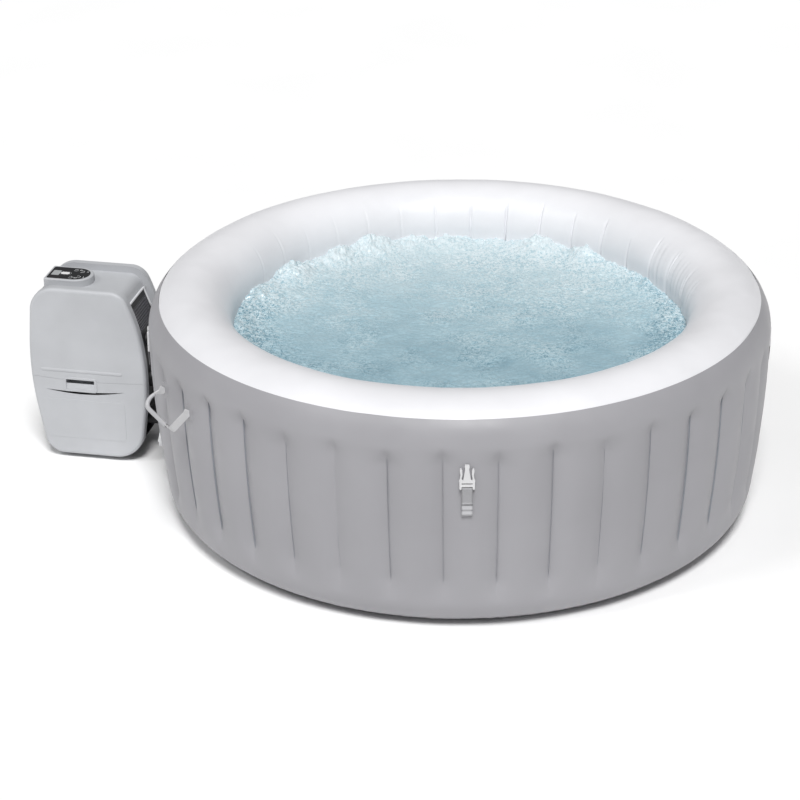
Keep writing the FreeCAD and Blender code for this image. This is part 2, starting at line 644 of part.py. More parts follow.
def casing():
    cover = side_cover()
    for node, shape in zip(("front_upper_cover", "front_lower_cover"), split_cover(cover)):
        save(node, at_pump(shape))

    rear = mirrored(cover)
    far = 2 * PUMP_OFFSET - NEAR
    screws = []
    for x, z in SCREW_PLACES:
        rear = rear.fuse(rod(TUBE_RADIUS, (x, far + 1, z), (x, FAR_SEAM, z)))
        rear = rear.cut(rod(TUBE_RADIUS - 2.5, (x, far - 5, z), (x, FAR_SEAM - 4, z)))
        rear = rear.cut(rod(2.1, (x, far, z), (x, FAR_SEAM + 5, z)))
        head = rod(4, (x, FAR_SEAM - 6.5, z), (x, FAR_SEAM - 4, z))
        recess = box((x - 2.5, FAR_SEAM - 7, z - 0.6), (x + 2.5, FAR_SEAM - 5.3, z + 0.6))
        cross = box((x - 0.6, FAR_SEAM - 7, z - 2.5), (x + 0.6, FAR_SEAM - 5.3, z + 2.5))
        shank = rod(2, (x, FAR_SEAM - 4, z), (x, FAR_SEAM + 18, z))
        screws.append(at_pump(head.cut(group([recess, cross])).fuse(shank).removeSplitter()))
    for node, shape in zip(("rear_upper_cover", "rear_lower_cover"), split_cover(rear)):
        save(node, at_pump(shape.removeSplitter()))
    save("cover_screws", group(screws))


def band_solid(wall):
    """Middle housing, wall inside its surface: recessed on top and towards the tub."""
    core = slab(inset(CASING, BAND_INSET + wall), FAR_SEAM, SEAM)
    skirt = slab(inset(CASING, RIM_INSET + wall), FAR_SEAM, SEAM)
    rim = skirt.common(box((OUTER_RIM + wall, -300, 0), (1300, 100, 600)))
    foot = skirt.common(box((800, -300, 0), (1300, 100, 45 - wall)))
    return core.fuse([rim, foot]).removeSplitter()


LIP_SIDE = 9.0
GRILLE = (FAR_SEAM + 16, SEAM - 16, 380, 452)       # across low and high, then height low and high
GLAND_PLACE = (PUMP_OFFSET - 50, 90.0)              # across and height
GLAND_RADIUS = 8.0


def middle_housing():
    band = band_solid(0).cut(band_solid(BAND_WALL))
    back_box = box((880, -300, 0), (1000, 100, BACK_TOP))
    strip = [(880, 400), (880, BACK_TOP + 1), (1000, BACK_TOP + 1), (1000, BACK_TOP - 20)]
    sides = group([slab(polygon(strip), low, low + LIP_SIDE) for low in (FAR_SEAM, SEAM - LIP_SIDE)])
    back_zone = back_box.cut(sides)
    bosses = []
    for x, z in SCREW_PLACES:
        boss = rod(6, (x, FAR_SEAM, z), (x, FAR_SEAM + 24, z))
        bosses.append(boss.cut(rod(2, (x, FAR_SEAM, z), (x, FAR_SEAM + 24, z))))
    webs = []
    for x, z in SCREW_PLACES:
        side = 1 if x > 1080 else -1
        low, high = sorted((x + side * 5.5, x + side * 60))
        webs.append(box((low, FAR_SEAM + 2, z - 1.5), (high, FAR_SEAM + 22, z + 1.5)))
    housing = band.cut(back_zone)
    for boss, web in zip(bosses, webs):
        holder = boss.fuse(web.common(band_solid(BAND_WALL - 0.5)))
        if boss.BoundBox.XMin > 1080:
            housing = housing.fuse(holder)
    housing = housing.cut(rod(GLAND_RADIUS, (1190, *GLAND_PLACE), (1240, *GLAND_PLACE)))
    save("centre_housing", at_pump(housing.removeSplitter()))

    back = band.common(back_zone)
    for boss, web in zip(bosses, webs):
        if boss.BoundBox.XMin < 1080:
            holder = boss.fuse(web.common(band_solid(BAND_WALL - 0.5)))
            holder = holder.common(box((800, -300, 0), (1000, 100, BACK_TOP)))
            back = back.fuse(holder)
    grille_box = box((880, GRILLE[0], GRILLE[2]), (1000, GRILLE[1], GRILLE[3]))
    back = back.cut(grille_box)
    for name, z in PORT_HEIGHTS.items():
        outer, inner = (WATER_PIPE if name != "air" else AIR_PIPE)
        start = PORT_WALL[name] + 39
        spigot = rod(outer, *port_line(name, start, 946))
        back = back.fuse(spigot).cut(rod(inner, *port_line(name, start - 5, 950)))
    save("back_panel", at_pump(back.removeSplitter()))

    grille = band.common(grille_box)
    slots = []
    count = 9
    pitch = (GRILLE[3] - GRILLE[2]) / count
    for number in range(count):
        low = GRILLE[2] + pitch * (number + 0.3)
        slots.append(box((880, GRILLE[0] + 5, low), (1000, GRILLE[1] - 5, low + 0.4 * pitch)))
    save("air_intake_grille", at_pump(grille.cut(group(slots))))


BEZEL_PROUD = 1.6


def grip_insert():
    """Finger grip set in the covers across their split: a pocket behind a low lip."""
    low_x, low_z = GRIP_LOW
    high_x, high_z = GRIP_HIGH
    pocket_back = NEAR - 34
    wall = 2.5
    body = box((low_x, pocket_back, low_z), (high_x, NEAR, high_z))
    bezel = outline([(low_x - 4, low_z - 4, 9), (high_x + 4, low_z - 4, 9),
                     (high_x + 4, high_z + 4, 9), (low_x - 4, high_z + 4, 9)])
    bezel = fillet_plane(slab(bezel, NEAR, NEAR + BEZEL_PROUD), 1.2, "y", NEAR + BEZEL_PROUD)
    body = body.fuse(bezel)
    body = body.cut(box((low_x + 4, pocket_back + wall, low_z + 4), (high_x - 4, NEAR + 5, high_z - 3)))
    lip = polygon([(NEAR - 4, low_z + 3), (NEAR + 0.6, low_z + 3), (NEAR - 3, low_z + 20),
                   (NEAR - 6, low_z + 20)], lambda a, b: V(0, a, b))
    lip = slab(lip, low_x + 3, high_x - 3, V(1, 0, 0))
    insert = body.fuse(lip).removeSplitter()
    save("grip_inserts", group([at_pump(insert), at_pump(mirrored(insert))]))


# ---------------------------------------------------------------- control panel
BAND_TOP = PUMP_TOP - BAND_INSET
CONSOLE_TOP = 530.0
CONSOLE = (1074.0, 1207.0, 49.0)    # inner end, outer end and half the width
PANEL = (1084.0, 1201.0, 41.5)
PANEL_OPENING = (1088.0, 1197.0, 37.5)
PANEL_DEPTH = 2.5
WINDOW = (1172.0, 1195.0, 17.0)
KEYS = {"heat": (1112, 19), "filter": (1112, -19), "bubble": (1134, 26), "timer": (1134, -26)}
KEY_HOLE = 4.6
KEY_FLANGE = 6.0
KEY_RISE = 0.7              # keys stand this far above the panel
POWER_PLACE = 1157.0
POWER_SIZE = (27.0, 15.0)


def bullet(inner_end, outer_end, half):
    """Plan outline, square at the outer end and round towards the tub."""
    return outline([(outer_end, PUMP_OFFSET - half, 6), (outer_end, PUMP_OFFSET + half, 6),
                    (inner_end, PUMP_OFFSET + half, half - 0.01),
                    (inner_end, PUMP_OFFSET - half, half - 0.01)], in_xy)


def capsule(length, width):
    return outline([(-length / 2, -width / 2, width / 2 - 0.01), (length / 2, -width / 2, width / 2 - 0.01),
                    (length / 2, width / 2, width / 2 - 0.01), (-length / 2, width / 2, width / 2 - 0.01)],
                   in_xy)


def window_block(low, high):
    start, end, half = WINDOW
    return box((start, PUMP_OFFSET - half, low), (end, PUMP_OFFSET + half, high))


def control_panel():
    foot = BAND_TOP - 40
    console = slab(bullet(*CONSOLE), foot, CONSOLE_TOP, UP)
    console = fillet_plane(console, 3.5, "z", CONSOLE_TOP)
    console = console.cut(slab(bullet(*PANEL), CONSOLE_TOP - PANEL_DEPTH, CONSOLE_TOP + 1, UP))
    console = console.cut(slab(bullet(*PANEL_OPENING), foot - 1, CONSOLE_TOP, UP))
    save("control_console", at_pump(console.cut(band_solid(0))))

    top = CONSOLE_TOP - 0.3
    bottom = CONSOLE_TOP - PANEL_DEPTH
    panel = slab(bullet(*PANEL), bottom, top, UP).cut(window_block(bottom - 2, top))
    for name, (x, offset) in KEYS.items():
        middle = (x, PUMP_OFFSET + offset)
        panel = panel.cut(rod(KEY_HOLE, (*middle, bottom - 1), (*middle, top + 1)))
        key = rod(KEY_HOLE - FIT * 3, (*middle, bottom - 0.5), (*middle, top + KEY_RISE))
        key = fillet_plane(key, 0.4, "z", top + KEY_RISE)
        flange_disc = rod(KEY_FLANGE, (*middle, bottom - 1.2), (*middle, bottom - 0.1))
        save(name + "_key", at_pump(key.fuse(flange_disc).removeSplitter()))

    centre = V(POWER_PLACE, PUMP_OFFSET, 0)
    length, width = POWER_SIZE
    hole = slab(capsule(length, width), bottom - 1, top + 1, UP)
    hole.translate(centre)
    panel = panel.cut(hole)
    cap = slab(capsule(length - 0.3, width - 0.3), bottom - 0.5, top + 0.8, UP)
    cap = fillet_plane(cap, 0.5, "z", top + 0.8)
    disc = slab(capsule(length + 2.5, width + 2.5), bottom - 1.2, bottom - 0.1, UP)
    power = cap.fuse(disc).removeSplitter()
    power.translate(centre)
    save("power_key", at_pump(power))
    save("panel_face", at_pump(panel))

    save("display_window", at_pump(window_block(bottom - 1, top - 0.2)))
    board = box((1107, PUMP_OFFSET - 30, BAND_TOP + 1), (1190, PUMP_OFFSET + 30, BAND_TOP + 2.6))
    parts = [box((x, PUMP_OFFSET + y, BAND_TOP + 2.6), (x + 14, PUMP_OFFSET + y + 12, BAND_TOP + 8))
             for x, y in ((1110, -20), (1128, 4), (1149, -18), (1168, 6))]
    save("control_board", at_pump(board.fuse(parts).removeSplitter()))


# ---------------------------------------------------------------- inside the pump unit
PORT_FACE = 946.0           # where the pump's own pipes begin, behind the back panel
MOTOR_START = 1030.0
MOTOR_END = 1140.0
MOTOR_RADIUS = 36.0
MOTOR_SHAFT = 5.0
CHAMBER_START = 982.0
CHAMBER = (46.0, 42.0)      # outer and inner radius
INLET = (28.0, 21.5)
STUB_RADIUS = 11.0          # stubs that the transfer hose is pushed on
IMPELLER_VANES = 6
HOSE_PLACES = (1006.0, 1146.0)      # stub on the pump, stub on the heater
HOSE_BEND = 13.0
TRANSFER_PIPE = (9.5, 7.5)
HEATER = (29.0, 26.5)
HEATER_END = 1170.0
ELEMENT_RADIUS = 4.0
ELEMENT_SPREAD = 11.0
ELEMENT_START = 1000.0
BLOWER_AXIS = (1080.0, -28.0)
BLOWER_Z = (322.0, 368.0)
BLOWER = (64.0, 61.0)
BLOWER_MOTOR = (40.0, 76.0)         # radius and height
BLOWER_SHAFT = 4.0
BLOWER_EYE = 22.0
FAN_RADIUS = 52.0
FAN_VANES = 8


def water_pump():
    height = PORT_HEIGHTS["suction"]
    end = MOTOR_START

    def bar(radius, start, finish):
        return rod(radius, (start, PUMP_OFFSET, height), (finish, PUMP_OFFSET, height))

    outer, inner = CHAMBER
    stub = HOSE_PLACES[0]
    outlet = rod(STUB_RADIUS, (stub, PUMP_OFFSET, height), (stub, PUMP_OFFSET, height + 52))
    shell = bar(outer, CHAMBER_START, end).fuse([bar(INLET[0], PORT_FACE, CHAMBER_START + 4), outlet])
    riser = rod(TRANSFER_PIPE[1], (stub, PUMP_OFFSET, height + 30), (stub, PUMP_OFFSET, height + 60))
    for hollow in (bar(inner, CHAMBER_START + 4, end - 4), bar(INLET[1], PORT_FACE - 6, CHAMBER_START + 8),
                   riser, bar(MOTOR_SHAFT, end - 10, end + 10)):
        shell = shell.cut(hollow)
    save("water_pump_casing", at_pump(shell.removeSplitter()))

    barrel = bar(MOTOR_RADIUS, end, MOTOR_END)
    motor = fillet_plane(barrel, 6, "x", MOTOR_END).cut(bar(MOTOR_SHAFT, end - 1, end + 30))
    stand = box((1050, PUMP_OFFSET - 26, 18.5), (1120, PUMP_OFFSET + 26, height - 20))
    motor = motor.fuse(stand.cut(barrel))
    save("pump_motor", at_pump(motor.removeSplitter()))

    disc = bar(MOTOR_RADIUS, end - 12, end - 9)
    shaft = bar(MOTOR_SHAFT - FIT, end - 12, end + 24)
    vanes = []
    for number in range(IMPELLER_VANES):
        vane = box((end - 28, PUMP_OFFSET - 1.5, height + 8), (end - 11, PUMP_OFFSET + 1.5, height + 35))
        vane.rotate(V(end, PUMP_OFFSET, height), V(1, 0, 0), 360 / IMPELLER_VANES * number)
        vanes.append(vane)
    save("impeller", at_pump(disc.fuse([shaft] + vanes).removeSplitter()))


def heater():
    height = PORT_HEIGHTS["return"]

    def line(start, finish):
        return (start, PUMP_OFFSET, height), (finish, PUMP_OFFSET, height)

    stub = HOSE_PLACES[1]
    shell = tube(*HEATER, *line(PORT_FACE + 14, HEATER_END))
    shell = shell.fuse([
        rod(HEATER[0], *line(HEATER_END - 3, HEATER_END)),
        tube(HEATER[0], INLET[1], *line(PORT_FACE + 11, PORT_FACE + 14)),
        tube(WATER_PIPE[0], INLET[1], *line(PORT_FACE, PORT_FACE + 12)),
        rod(STUB_RADIUS, (stub, PUMP_OFFSET, height - 40), (stub, PUMP_OFFSET, height - 26)),
    ])
    shell = shell.cut(rod(TRANSFER_PIPE[1], (stub, PUMP_OFFSET, height - 45),
                          (stub, PUMP_OFFSET, height - 10)))
    save("heater_tube", at_pump(shell.removeSplitter()))

    coil = []
    for side in (-1, 1):
        n = PUMP_OFFSET + ELEMENT_SPREAD * side
        coil.append(rod(ELEMENT_RADIUS, (ELEMENT_START, n, height), (HEATER_END - 3, n, height)))
    bend = Part.makeTorus(ELEMENT_SPREAD, ELEMENT_RADIUS, V(ELEMENT_START, PUMP_OFFSET, height), UP)
    bend = bend.common(box((ELEMENT_START - 100, -300, 0), (ELEMENT_START, 100, 500)))
    save("heating_element", at_pump(coil[0].fuse([coil[1], bend]).removeSplitter()))

    low = PORT_HEIGHTS["suction"] + 52
    high = height - 40
    middle = (low + high) / 2
    route = [(HOSE_PLACES[0], PUMP_OFFSET, low), (HOSE_PLACES[0], PUMP_OFFSET, middle),
             (HOSE_PLACES[1], PUMP_OFFSET, middle), (HOSE_PLACES[1], PUMP_OFFSET, high)]
    save("transfer_hose", at_pump(hose(route, HOSE_BEND, *TRANSFER_PIPE)))


def air_blower():
    x, n = BLOWER_AXIS
    low, high = BLOWER_Z
    height = PORT_HEIGHTS["air"]

    def post(radius, start, finish):
        return rod(radius, (x, n, start), (x, n, finish))

    duct = rod(AIR_PIPE[0], (PORT_FACE, PUMP_OFFSET, height), (x, PUMP_OFFSET, height))
    shell = post(BLOWER[0], low, high).fuse(duct).cut(post(BLOWER[1], low + 3, high - 3))
    shell = shell.cut(rod(AIR_PIPE[1], (PORT_FACE - 6, PUMP_OFFSET, height), (x - 10, PUMP_OFFSET, height)))
    openings = [post(BLOWER_EYE, low - 5, low + 5), post(BLOWER_SHAFT, high - 5, high + 5)]
    save("blower_casing", at_pump(shell.cut(group(openings)).removeSplitter()))

    radius, tall = BLOWER_MOTOR
    motor = fillet_plane(post(radius, high, high + tall), 5, "z", high + tall)
    save("blower_motor", at_pump(motor.cut(post(BLOWER_SHAFT, high, high + 30))))

    disc = post(FAN_RADIUS, high - 10, high - 7)
    shaft = post(BLOWER_SHAFT - FIT, high - 10, high + 24)
    vanes = []
    for number in range(FAN_VANES):
        vane = box((x + 24, n - 1, low + 8), (x + 51, n + 1, high - 9))
        vane.rotate(V(x, n, 0), UP, 360 / FAN_VANES * number)
        vanes.append(vane)
    save("blower_fan", at_pump(disc.fuse([shaft] + vanes).removeSplitter()))


COLLAR_GROOVES = 16
FEET_PLACES = [(1010, -65), (1010, 65), (1145, -65), (1145, 65)]    # along the pump line, from its middle
FOOT_RADII = (13.0, 15.0)
NUT_RADIUS = 12.0


def small_parts():
    for name, z in PORT_HEIGHTS.items():
        outer = (WATER_PIPE if name != "air" else AIR_PIPE)[0]
        start = PORT_WALL[name] + 10
        end = PORT_WALL[name] + 62
        radius = COLLAR_RADIUS if name != "air" else COLLAR_RADIUS - 6
        collar = tube(radius, outer + FIT, *port_line(name, start, end))
        grooves = []
        for number in range(COLLAR_GROOVES):
            groove = rod(2.5, *port_line(name, start - 1, end + 1))
            groove.translate(V(0, 0, radius + 1))
            groove.rotate(V(0, PUMP_OFFSET, z), V(1, 0, 0), 360 / COLLAR_GROOVES * number)
            grooves.append(groove)
        save(name + "_collar", at_pump(collar.cut(group(grooves))))

    feet = []
    for x, side in FEET_PLACES:
        feet.append(at_pump(Part.makeCone(*FOOT_RADII, PUMP_BOTTOM + RIM_INSET, V(x, PUMP_OFFSET + side, 0))))
    save("rubber_feet", group(feet))

    n, z = GLAND_PLACE
    turns = [math.pi * k / 3 for k in range(6)]
    corners = [(NUT_RADIUS * math.cos(turn), NUT_RADIUS * math.sin(turn)) for turn in turns]
    nut = slab(polygon(corners, lambda a, b: V(0, n + a, z + b)), 1205, 1222, V(1, 0, 0))
    nut = nut.cut(slab(inset(CASING, RIM_INSET), FAR_SEAM, SEAM))
    dome = Part.makeCone(10, 7, 9, V(1222, n, z), V(1, 0, 0))
    inner = rod(GLAND_RADIUS, (1200, n, z), (1222, n, z))
    gland = nut.fuse([dome, inner]).cut(rod(4, (1190, n, z), (1240, n, z)))
    save("cable_gland", at_pump(gland.removeSplitter()))


tub_body()
tension_webs()
wall_fittings()
filter_parts()
strap_parts()
handles()
casing()
middle_housing()
grip_insert()
control_panel()
water_pump()
heater()
air_blower()
small_parts()
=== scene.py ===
import itertools
import json
import math

import bpy
import numpy as np
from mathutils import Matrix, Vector


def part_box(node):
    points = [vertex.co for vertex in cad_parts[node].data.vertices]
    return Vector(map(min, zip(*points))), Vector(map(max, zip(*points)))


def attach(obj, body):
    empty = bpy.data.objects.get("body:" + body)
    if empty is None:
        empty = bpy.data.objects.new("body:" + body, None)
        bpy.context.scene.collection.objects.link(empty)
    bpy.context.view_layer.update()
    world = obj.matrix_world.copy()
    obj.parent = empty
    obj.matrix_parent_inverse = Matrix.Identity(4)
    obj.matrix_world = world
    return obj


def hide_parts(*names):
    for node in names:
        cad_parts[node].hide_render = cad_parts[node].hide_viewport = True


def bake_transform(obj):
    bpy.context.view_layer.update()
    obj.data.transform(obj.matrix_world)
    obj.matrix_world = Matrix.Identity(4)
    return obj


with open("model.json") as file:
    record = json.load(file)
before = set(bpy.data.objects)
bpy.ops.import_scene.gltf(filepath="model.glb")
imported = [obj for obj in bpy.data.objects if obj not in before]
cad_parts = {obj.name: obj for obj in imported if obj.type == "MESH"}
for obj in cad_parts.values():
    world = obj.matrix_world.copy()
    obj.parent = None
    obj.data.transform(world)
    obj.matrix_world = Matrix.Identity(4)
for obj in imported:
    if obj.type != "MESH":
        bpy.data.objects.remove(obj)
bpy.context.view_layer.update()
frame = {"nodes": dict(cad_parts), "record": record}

# Inflatable hot tub with its pump unit. Metres, in the frame of the CAD model: +Z up,
# -Y towards the front buckle. Headings are degrees anticlockwise from +X.

# ---------------------------------------------------------------- sizes
TUB_RADIUS = round(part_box("outer_wall")[1].x, 3)
TUB_HEIGHT = round(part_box("top_and_inner_wall")[1].z, 3)
INNER_RADIUS = round(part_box("air_channel_ring")[1].x, 3)
RIM_RADIUS = (TUB_RADIUS - INNER_RADIUS) / 2
BASE_RADIUS = 0.820
CORNER_RADIUS = 0.098
SEAM_ANGLE = 43.5
WEB_COUNT = 38
WEB_PITCH = 360 / WEB_COUNT
WEB_START = 271.8
PORT_HEADING = 162.85       # the web that would stand at the pump's ports is left out
MISSING_WEB = round((PORT_HEADING - WEB_START) / WEB_PITCH - 0.5) % WEB_COUNT
OUTER_CREASE = 0.0170       # how deep the webs hold the wall in
INNER_CREASE = 0.0036
SHEET = 0.003               # thickness of the tub's sheets
WATER_LEVEL = 0.485
WEBBING = 0.026
WEBBING_THICKNESS = 0.0016
SECTION_POINTS = 28         # points round a swept strand's section

RIM_CENTRE = (TUB_RADIUS - RIM_RADIUS, TUB_HEIGHT - RIM_RADIUS)
FALL = RIM_CENTRE[1] - CORNER_RADIUS
BULGE = TUB_RADIUS - BASE_RADIUS
WALL_ARC = (FALL ** 2 + BULGE ** 2) / (2 * BULGE)
WALL_CENTRE = (TUB_RADIUS - WALL_ARC, RIM_CENTRE[1])
CORNER_REACH = math.sqrt((WALL_ARC - CORNER_RADIUS) ** 2 - FALL ** 2)
CORNER_CENTRE = (WALL_CENTRE[0] + CORNER_REACH, CORNER_RADIUS)
WALL_TURN = -math.degrees(math.atan2(FALL, CORNER_REACH))


# ---------------------------------------------------------------- noise and mesh helpers
LATTICE = np.random.RandomState(11).permutation(256)
SLOPES = np.random.RandomState(12).normal(size=(256, 3))
SLOPES /= np.linalg.norm(SLOPES, axis=1)[:, None]


def noise(points, scale, seed=0):
    """Smooth noise from about -1 to 1 at points, with features about 1 / scale metres apart."""
    places = points * scale + seed * 37.7
    cell = np.floor(places).astype(int)
    inside = places - cell
    fade = inside ** 3 * (inside * (inside * 6 - 15) + 10)
    total = np.zeros(len(points))
    for corner in itertools.product((0, 1), repeat=3):
        at = cell + corner
        pick = LATTICE[(at[:, 0]) & 255]
        pick = LATTICE[(pick + at[:, 1]) & 255]
        pick = LATTICE[(pick + at[:, 2]) & 255]
        reach = ((inside - corner) * SLOPES[pick]).sum(1)
        total += np.where(corner, fade, 1 - fade).prod(1) * reach
    return total * 1.7


def step(low, high, values):
    """Smooth rise from 0 at low to 1 at high, or a fall where high is below low."""
    share = np.clip((values - low) / (high - low), 0, 1)
    return share * share * (3 - 2 * share)


def heading_of(degrees):
    """Flat direction at a heading."""
    turn = math.radians(degrees)
    return Vector((math.cos(turn), math.sin(turn), 0))


def mesh_object(name, vertices, faces, smooth=True):
    mesh = bpy.data.meshes.new(name)
    mesh.from_pydata(vertices, [], faces)
    mesh.update()
    if smooth:
        mesh.polygons.foreach_set("use_smooth", [True] * len(mesh.polygons))
    made = bpy.data.objects.new(name, mesh)
    bpy.context.scene.collection.objects.link(made)
    return made


def grid_faces(rows, columns, closed):
    """Quads between rows of points; closed joins each row's end to its start."""
    across = np.arange(columns if closed else columns - 1)
    first = np.arange(rows - 1)[:, None] * columns
    left = first + across
    right = first + (across + 1) % columns
    quads = np.stack([left, left + columns, right + columns, right], -1)
    return quads.reshape(-1, 4)


def grid_object(name, grid, closed):
    rows, columns = grid.shape[:2]
    faces = grid_faces(rows, columns, closed)
    return mesh_object(name, grid.reshape(-1, 3).tolist(), faces.tolist())


def paint(made, name, values):
    """Keep one number per point for the material to read."""
    attribute = made.data.attributes.new(name, "FLOAT", "POINT")
    attribute.data.foreach_set("value", np.asarray(values, np.float32).ravel())


def oval(width, thickness, squareness=2.0):
    """Section from round (2) to nearly square-edged (8), as (across, out) points."""
    turns = np.radians((np.arange(SECTION_POINTS) + 0.5) * 360.0 / SECTION_POINTS)
    across, out = np.cos(turns), np.sin(turns)
    power = 2 / squareness
    across = np.sign(across) * np.abs(across) ** power * width / 2
    out = np.sign(out) * np.abs(out) ** power * thickness / 2
    return np.stack([across, out], 1)


def smooth_line(points, spacing):
    """Evenly sampled curve through the points."""
    stops = np.array(points, float)
    ends = (2 * stops[0] - stops[1], 2 * stops[-1] - stops[-2])
    padded = np.concatenate([ends[0][None], stops, ends[1][None]])
    made = []
    for i in range(len(stops) - 1):
        before, start, finish, after = padded[i:i + 4]
        count = max(2, int(np.linalg.norm(finish - start) / spacing))
        t = np.linspace(0, 1, count, endpoint=False)[:, None]
        made.append(0.5 * (2 * start + (finish - before) * t
                           + (2 * before - 5 * start + 4 * finish - after) * t ** 2
                           + (3 * start - before - 3 * finish + after) * t ** 3))
    made.append(stops[-1:])
    return np.concatenate(made)


def strand(centres, width_way, sizes, squareness=2.0):
    """Closed sweep along a line: points, faces, distance along and distance across.
    width_way is one direction or one for each station; sizes are (width, thickness)."""
    centres = np.array(centres, float)
    run = np.gradient(centres, axis=0)
    run /= np.linalg.norm(run, axis=1)[:, None]
    side = np.broadcast_to(np.array(width_way, float), centres.shape)
    side = side - run * (side * run).sum(1)[:, None]
    side /= np.linalg.norm(side, axis=1)[:, None]
    out = np.cross(side, run)
    sections = np.array([oval(width, thickness, squareness) for width, thickness in sizes])
    points = centres[:, None] + side[:, None] * sections[..., :1] + out[:, None] * sections[..., 1:]
    rows, columns = sections.shape[:2]
    faces = grid_faces(rows, columns, True).tolist()
    faces.append(list(range(columns)))
    faces.append(list(range(rows * columns - 1, (rows - 1) * columns - 1, -1)))
    steps = np.linalg.norm(np.diff(centres, axis=0), axis=1)
    along = np.repeat(np.concatenate([[0], np.cumsum(steps)]), columns)
    return points.reshape(-1, 3), faces, along, sections[..., 0].ravel()


def strands_object(name, strands):
    """One piece made of swept strands, with each point's distance along and across for the weave."""
    points, faces, along, across = [], [], [], []
    count = 0
    for strand_points, strand_faces, strand_along, strand_across in strands:
        points.append(strand_points)
        faces += [[index + count for index in face] for face in strand_faces]
        along.append(strand_along)
        across.append(strand_across)
        count += len(strand_points)
    made = mesh_object(name, np.concatenate(points).tolist(), faces)
    paint(made, "along", np.concatenate(along))
    paint(made, "across", np.concatenate(across))
    return made


# ---------------------------------------------------------------- materials
def new_material(name, roughness, **sockets):
    """New material with its node tree and shader; sockets are named with _ for each space."""
    material = bpy.data.materials.new(name)
    material.use_nodes = True
    shader = material.node_tree.nodes["Principled BSDF"]
    shader.inputs["Roughness"].default_value = roughness
    for socket, value in sockets.items():
        shader.inputs[socket.replace("_", " ")].default_value = value
    return material, material.node_tree, shader


def node(tree, kind, **values):
    """New node; names with a capital set sockets, others set properties."""
    made = tree.nodes.new("ShaderNode" + kind)
    for key, value in values.items():
        if key[0].isupper():
            made.inputs[key.replace("_", " ")].default_value = value
        else:
            setattr(made, key, value)
    return made


def place_of(tree):
    return node(tree, "TexCoord").outputs["Object"]


def noise_of(tree, scale, detail=2.0, source=None):
    made = node(tree, "TexNoise", Scale=scale, Detail=detail)
    tree.links.new(source or place_of(tree), made.inputs["Vector"])
    return made.outputs["Fac"]


def between(tree, value, low, high, start=0.3, end=0.7):
    """Map a noise value to numbers between low and high."""
    made = node(tree, "MapRange")
    for slot, number in enumerate((start, end, low, high), 1):
        made.inputs[slot].default_value = number
    tree.links.new(value, made.inputs[0])
    return made.outputs[0]


def colour_between(tree, value, low, high, start=0.35, end=0.65):
    ramp = node(tree, "ValToRGB")
    for element, position, colour in zip(ramp.color_ramp.elements, (start, end), (low, high)):
        element.position = position
        element.color = (*colour, 1)
    tree.links.new(value, ramp.inputs["Fac"])
    return ramp.outputs["Color"]


def bump(tree, shader, height, strength, distance, before=None):
    made = node(tree, "Bump", Strength=strength, Distance=distance)
    tree.links.new(height, made.inputs["Height"])
    if before:
        tree.links.new(before.outputs["Normal"], made.inputs["Normal"])
    tree.links.new(made.outputs["Normal"], shader.inputs["Normal"])
    return made


def shade(colour, factor):
    return tuple(min(1.0, channel * factor) for channel in colour)


def moulded(name, colour, roughness=0.45, drift=0.04, grain=900.0, relief=0.25, **sockets):
    """Moulded plastic or sheet: slow drift of tone and gloss, and a fine grain."""
    material, tree, shader = new_material(name, roughness, **sockets)
    slow = noise_of(tree, 7.0, 3.0)
    tone = colour_between(tree, slow, shade(colour, 1 - drift), shade(colour, 1 + drift))
    tree.links.new(tone, shader.inputs["Base Color"])
    gloss = between(tree, noise_of(tree, 23.0, 4.0), roughness - 0.05, roughness + 0.06)
    tree.links.new(gloss, shader.inputs["Roughness"])
    bump(tree, shader, noise_of(tree, grain, 3.0), relief, 0.0002)
    return material


def vinyl(name, colour, roughness):
    """Laminated PVC: calendered film over a fabric core that shows as a faint diamond grid."""
    material, tree, shader = new_material(name, roughness, Specular_IOR_Level=0.45,
                                          Sheen_Weight=0.05, Subsurface_Weight=0.0)
    place = place_of(tree)
    slow = noise_of(tree, 3.5, 4.0, place)
    tone = colour_between(tree, slow, shade(colour, 0.965), shade(colour, 1.035))
    tree.links.new(tone, shader.inputs["Base Color"])
    gloss = between(tree, noise_of(tree, 14.0, 5.0, place), roughness - 0.06, roughness + 0.07)
    tree.links.new(gloss, shader.inputs["Roughness"])
    cells = node(tree, "TexVoronoi", Scale=420.0)
    tree.links.new(place, cells.inputs["Vector"])
    fine = bump(tree, shader, cells.outputs["Distance"], 0.10, 0.0003)
    bump(tree, shader, noise_of(tree, 38.0, 3.0, place), 0.12, 0.0012, fine)
    return material


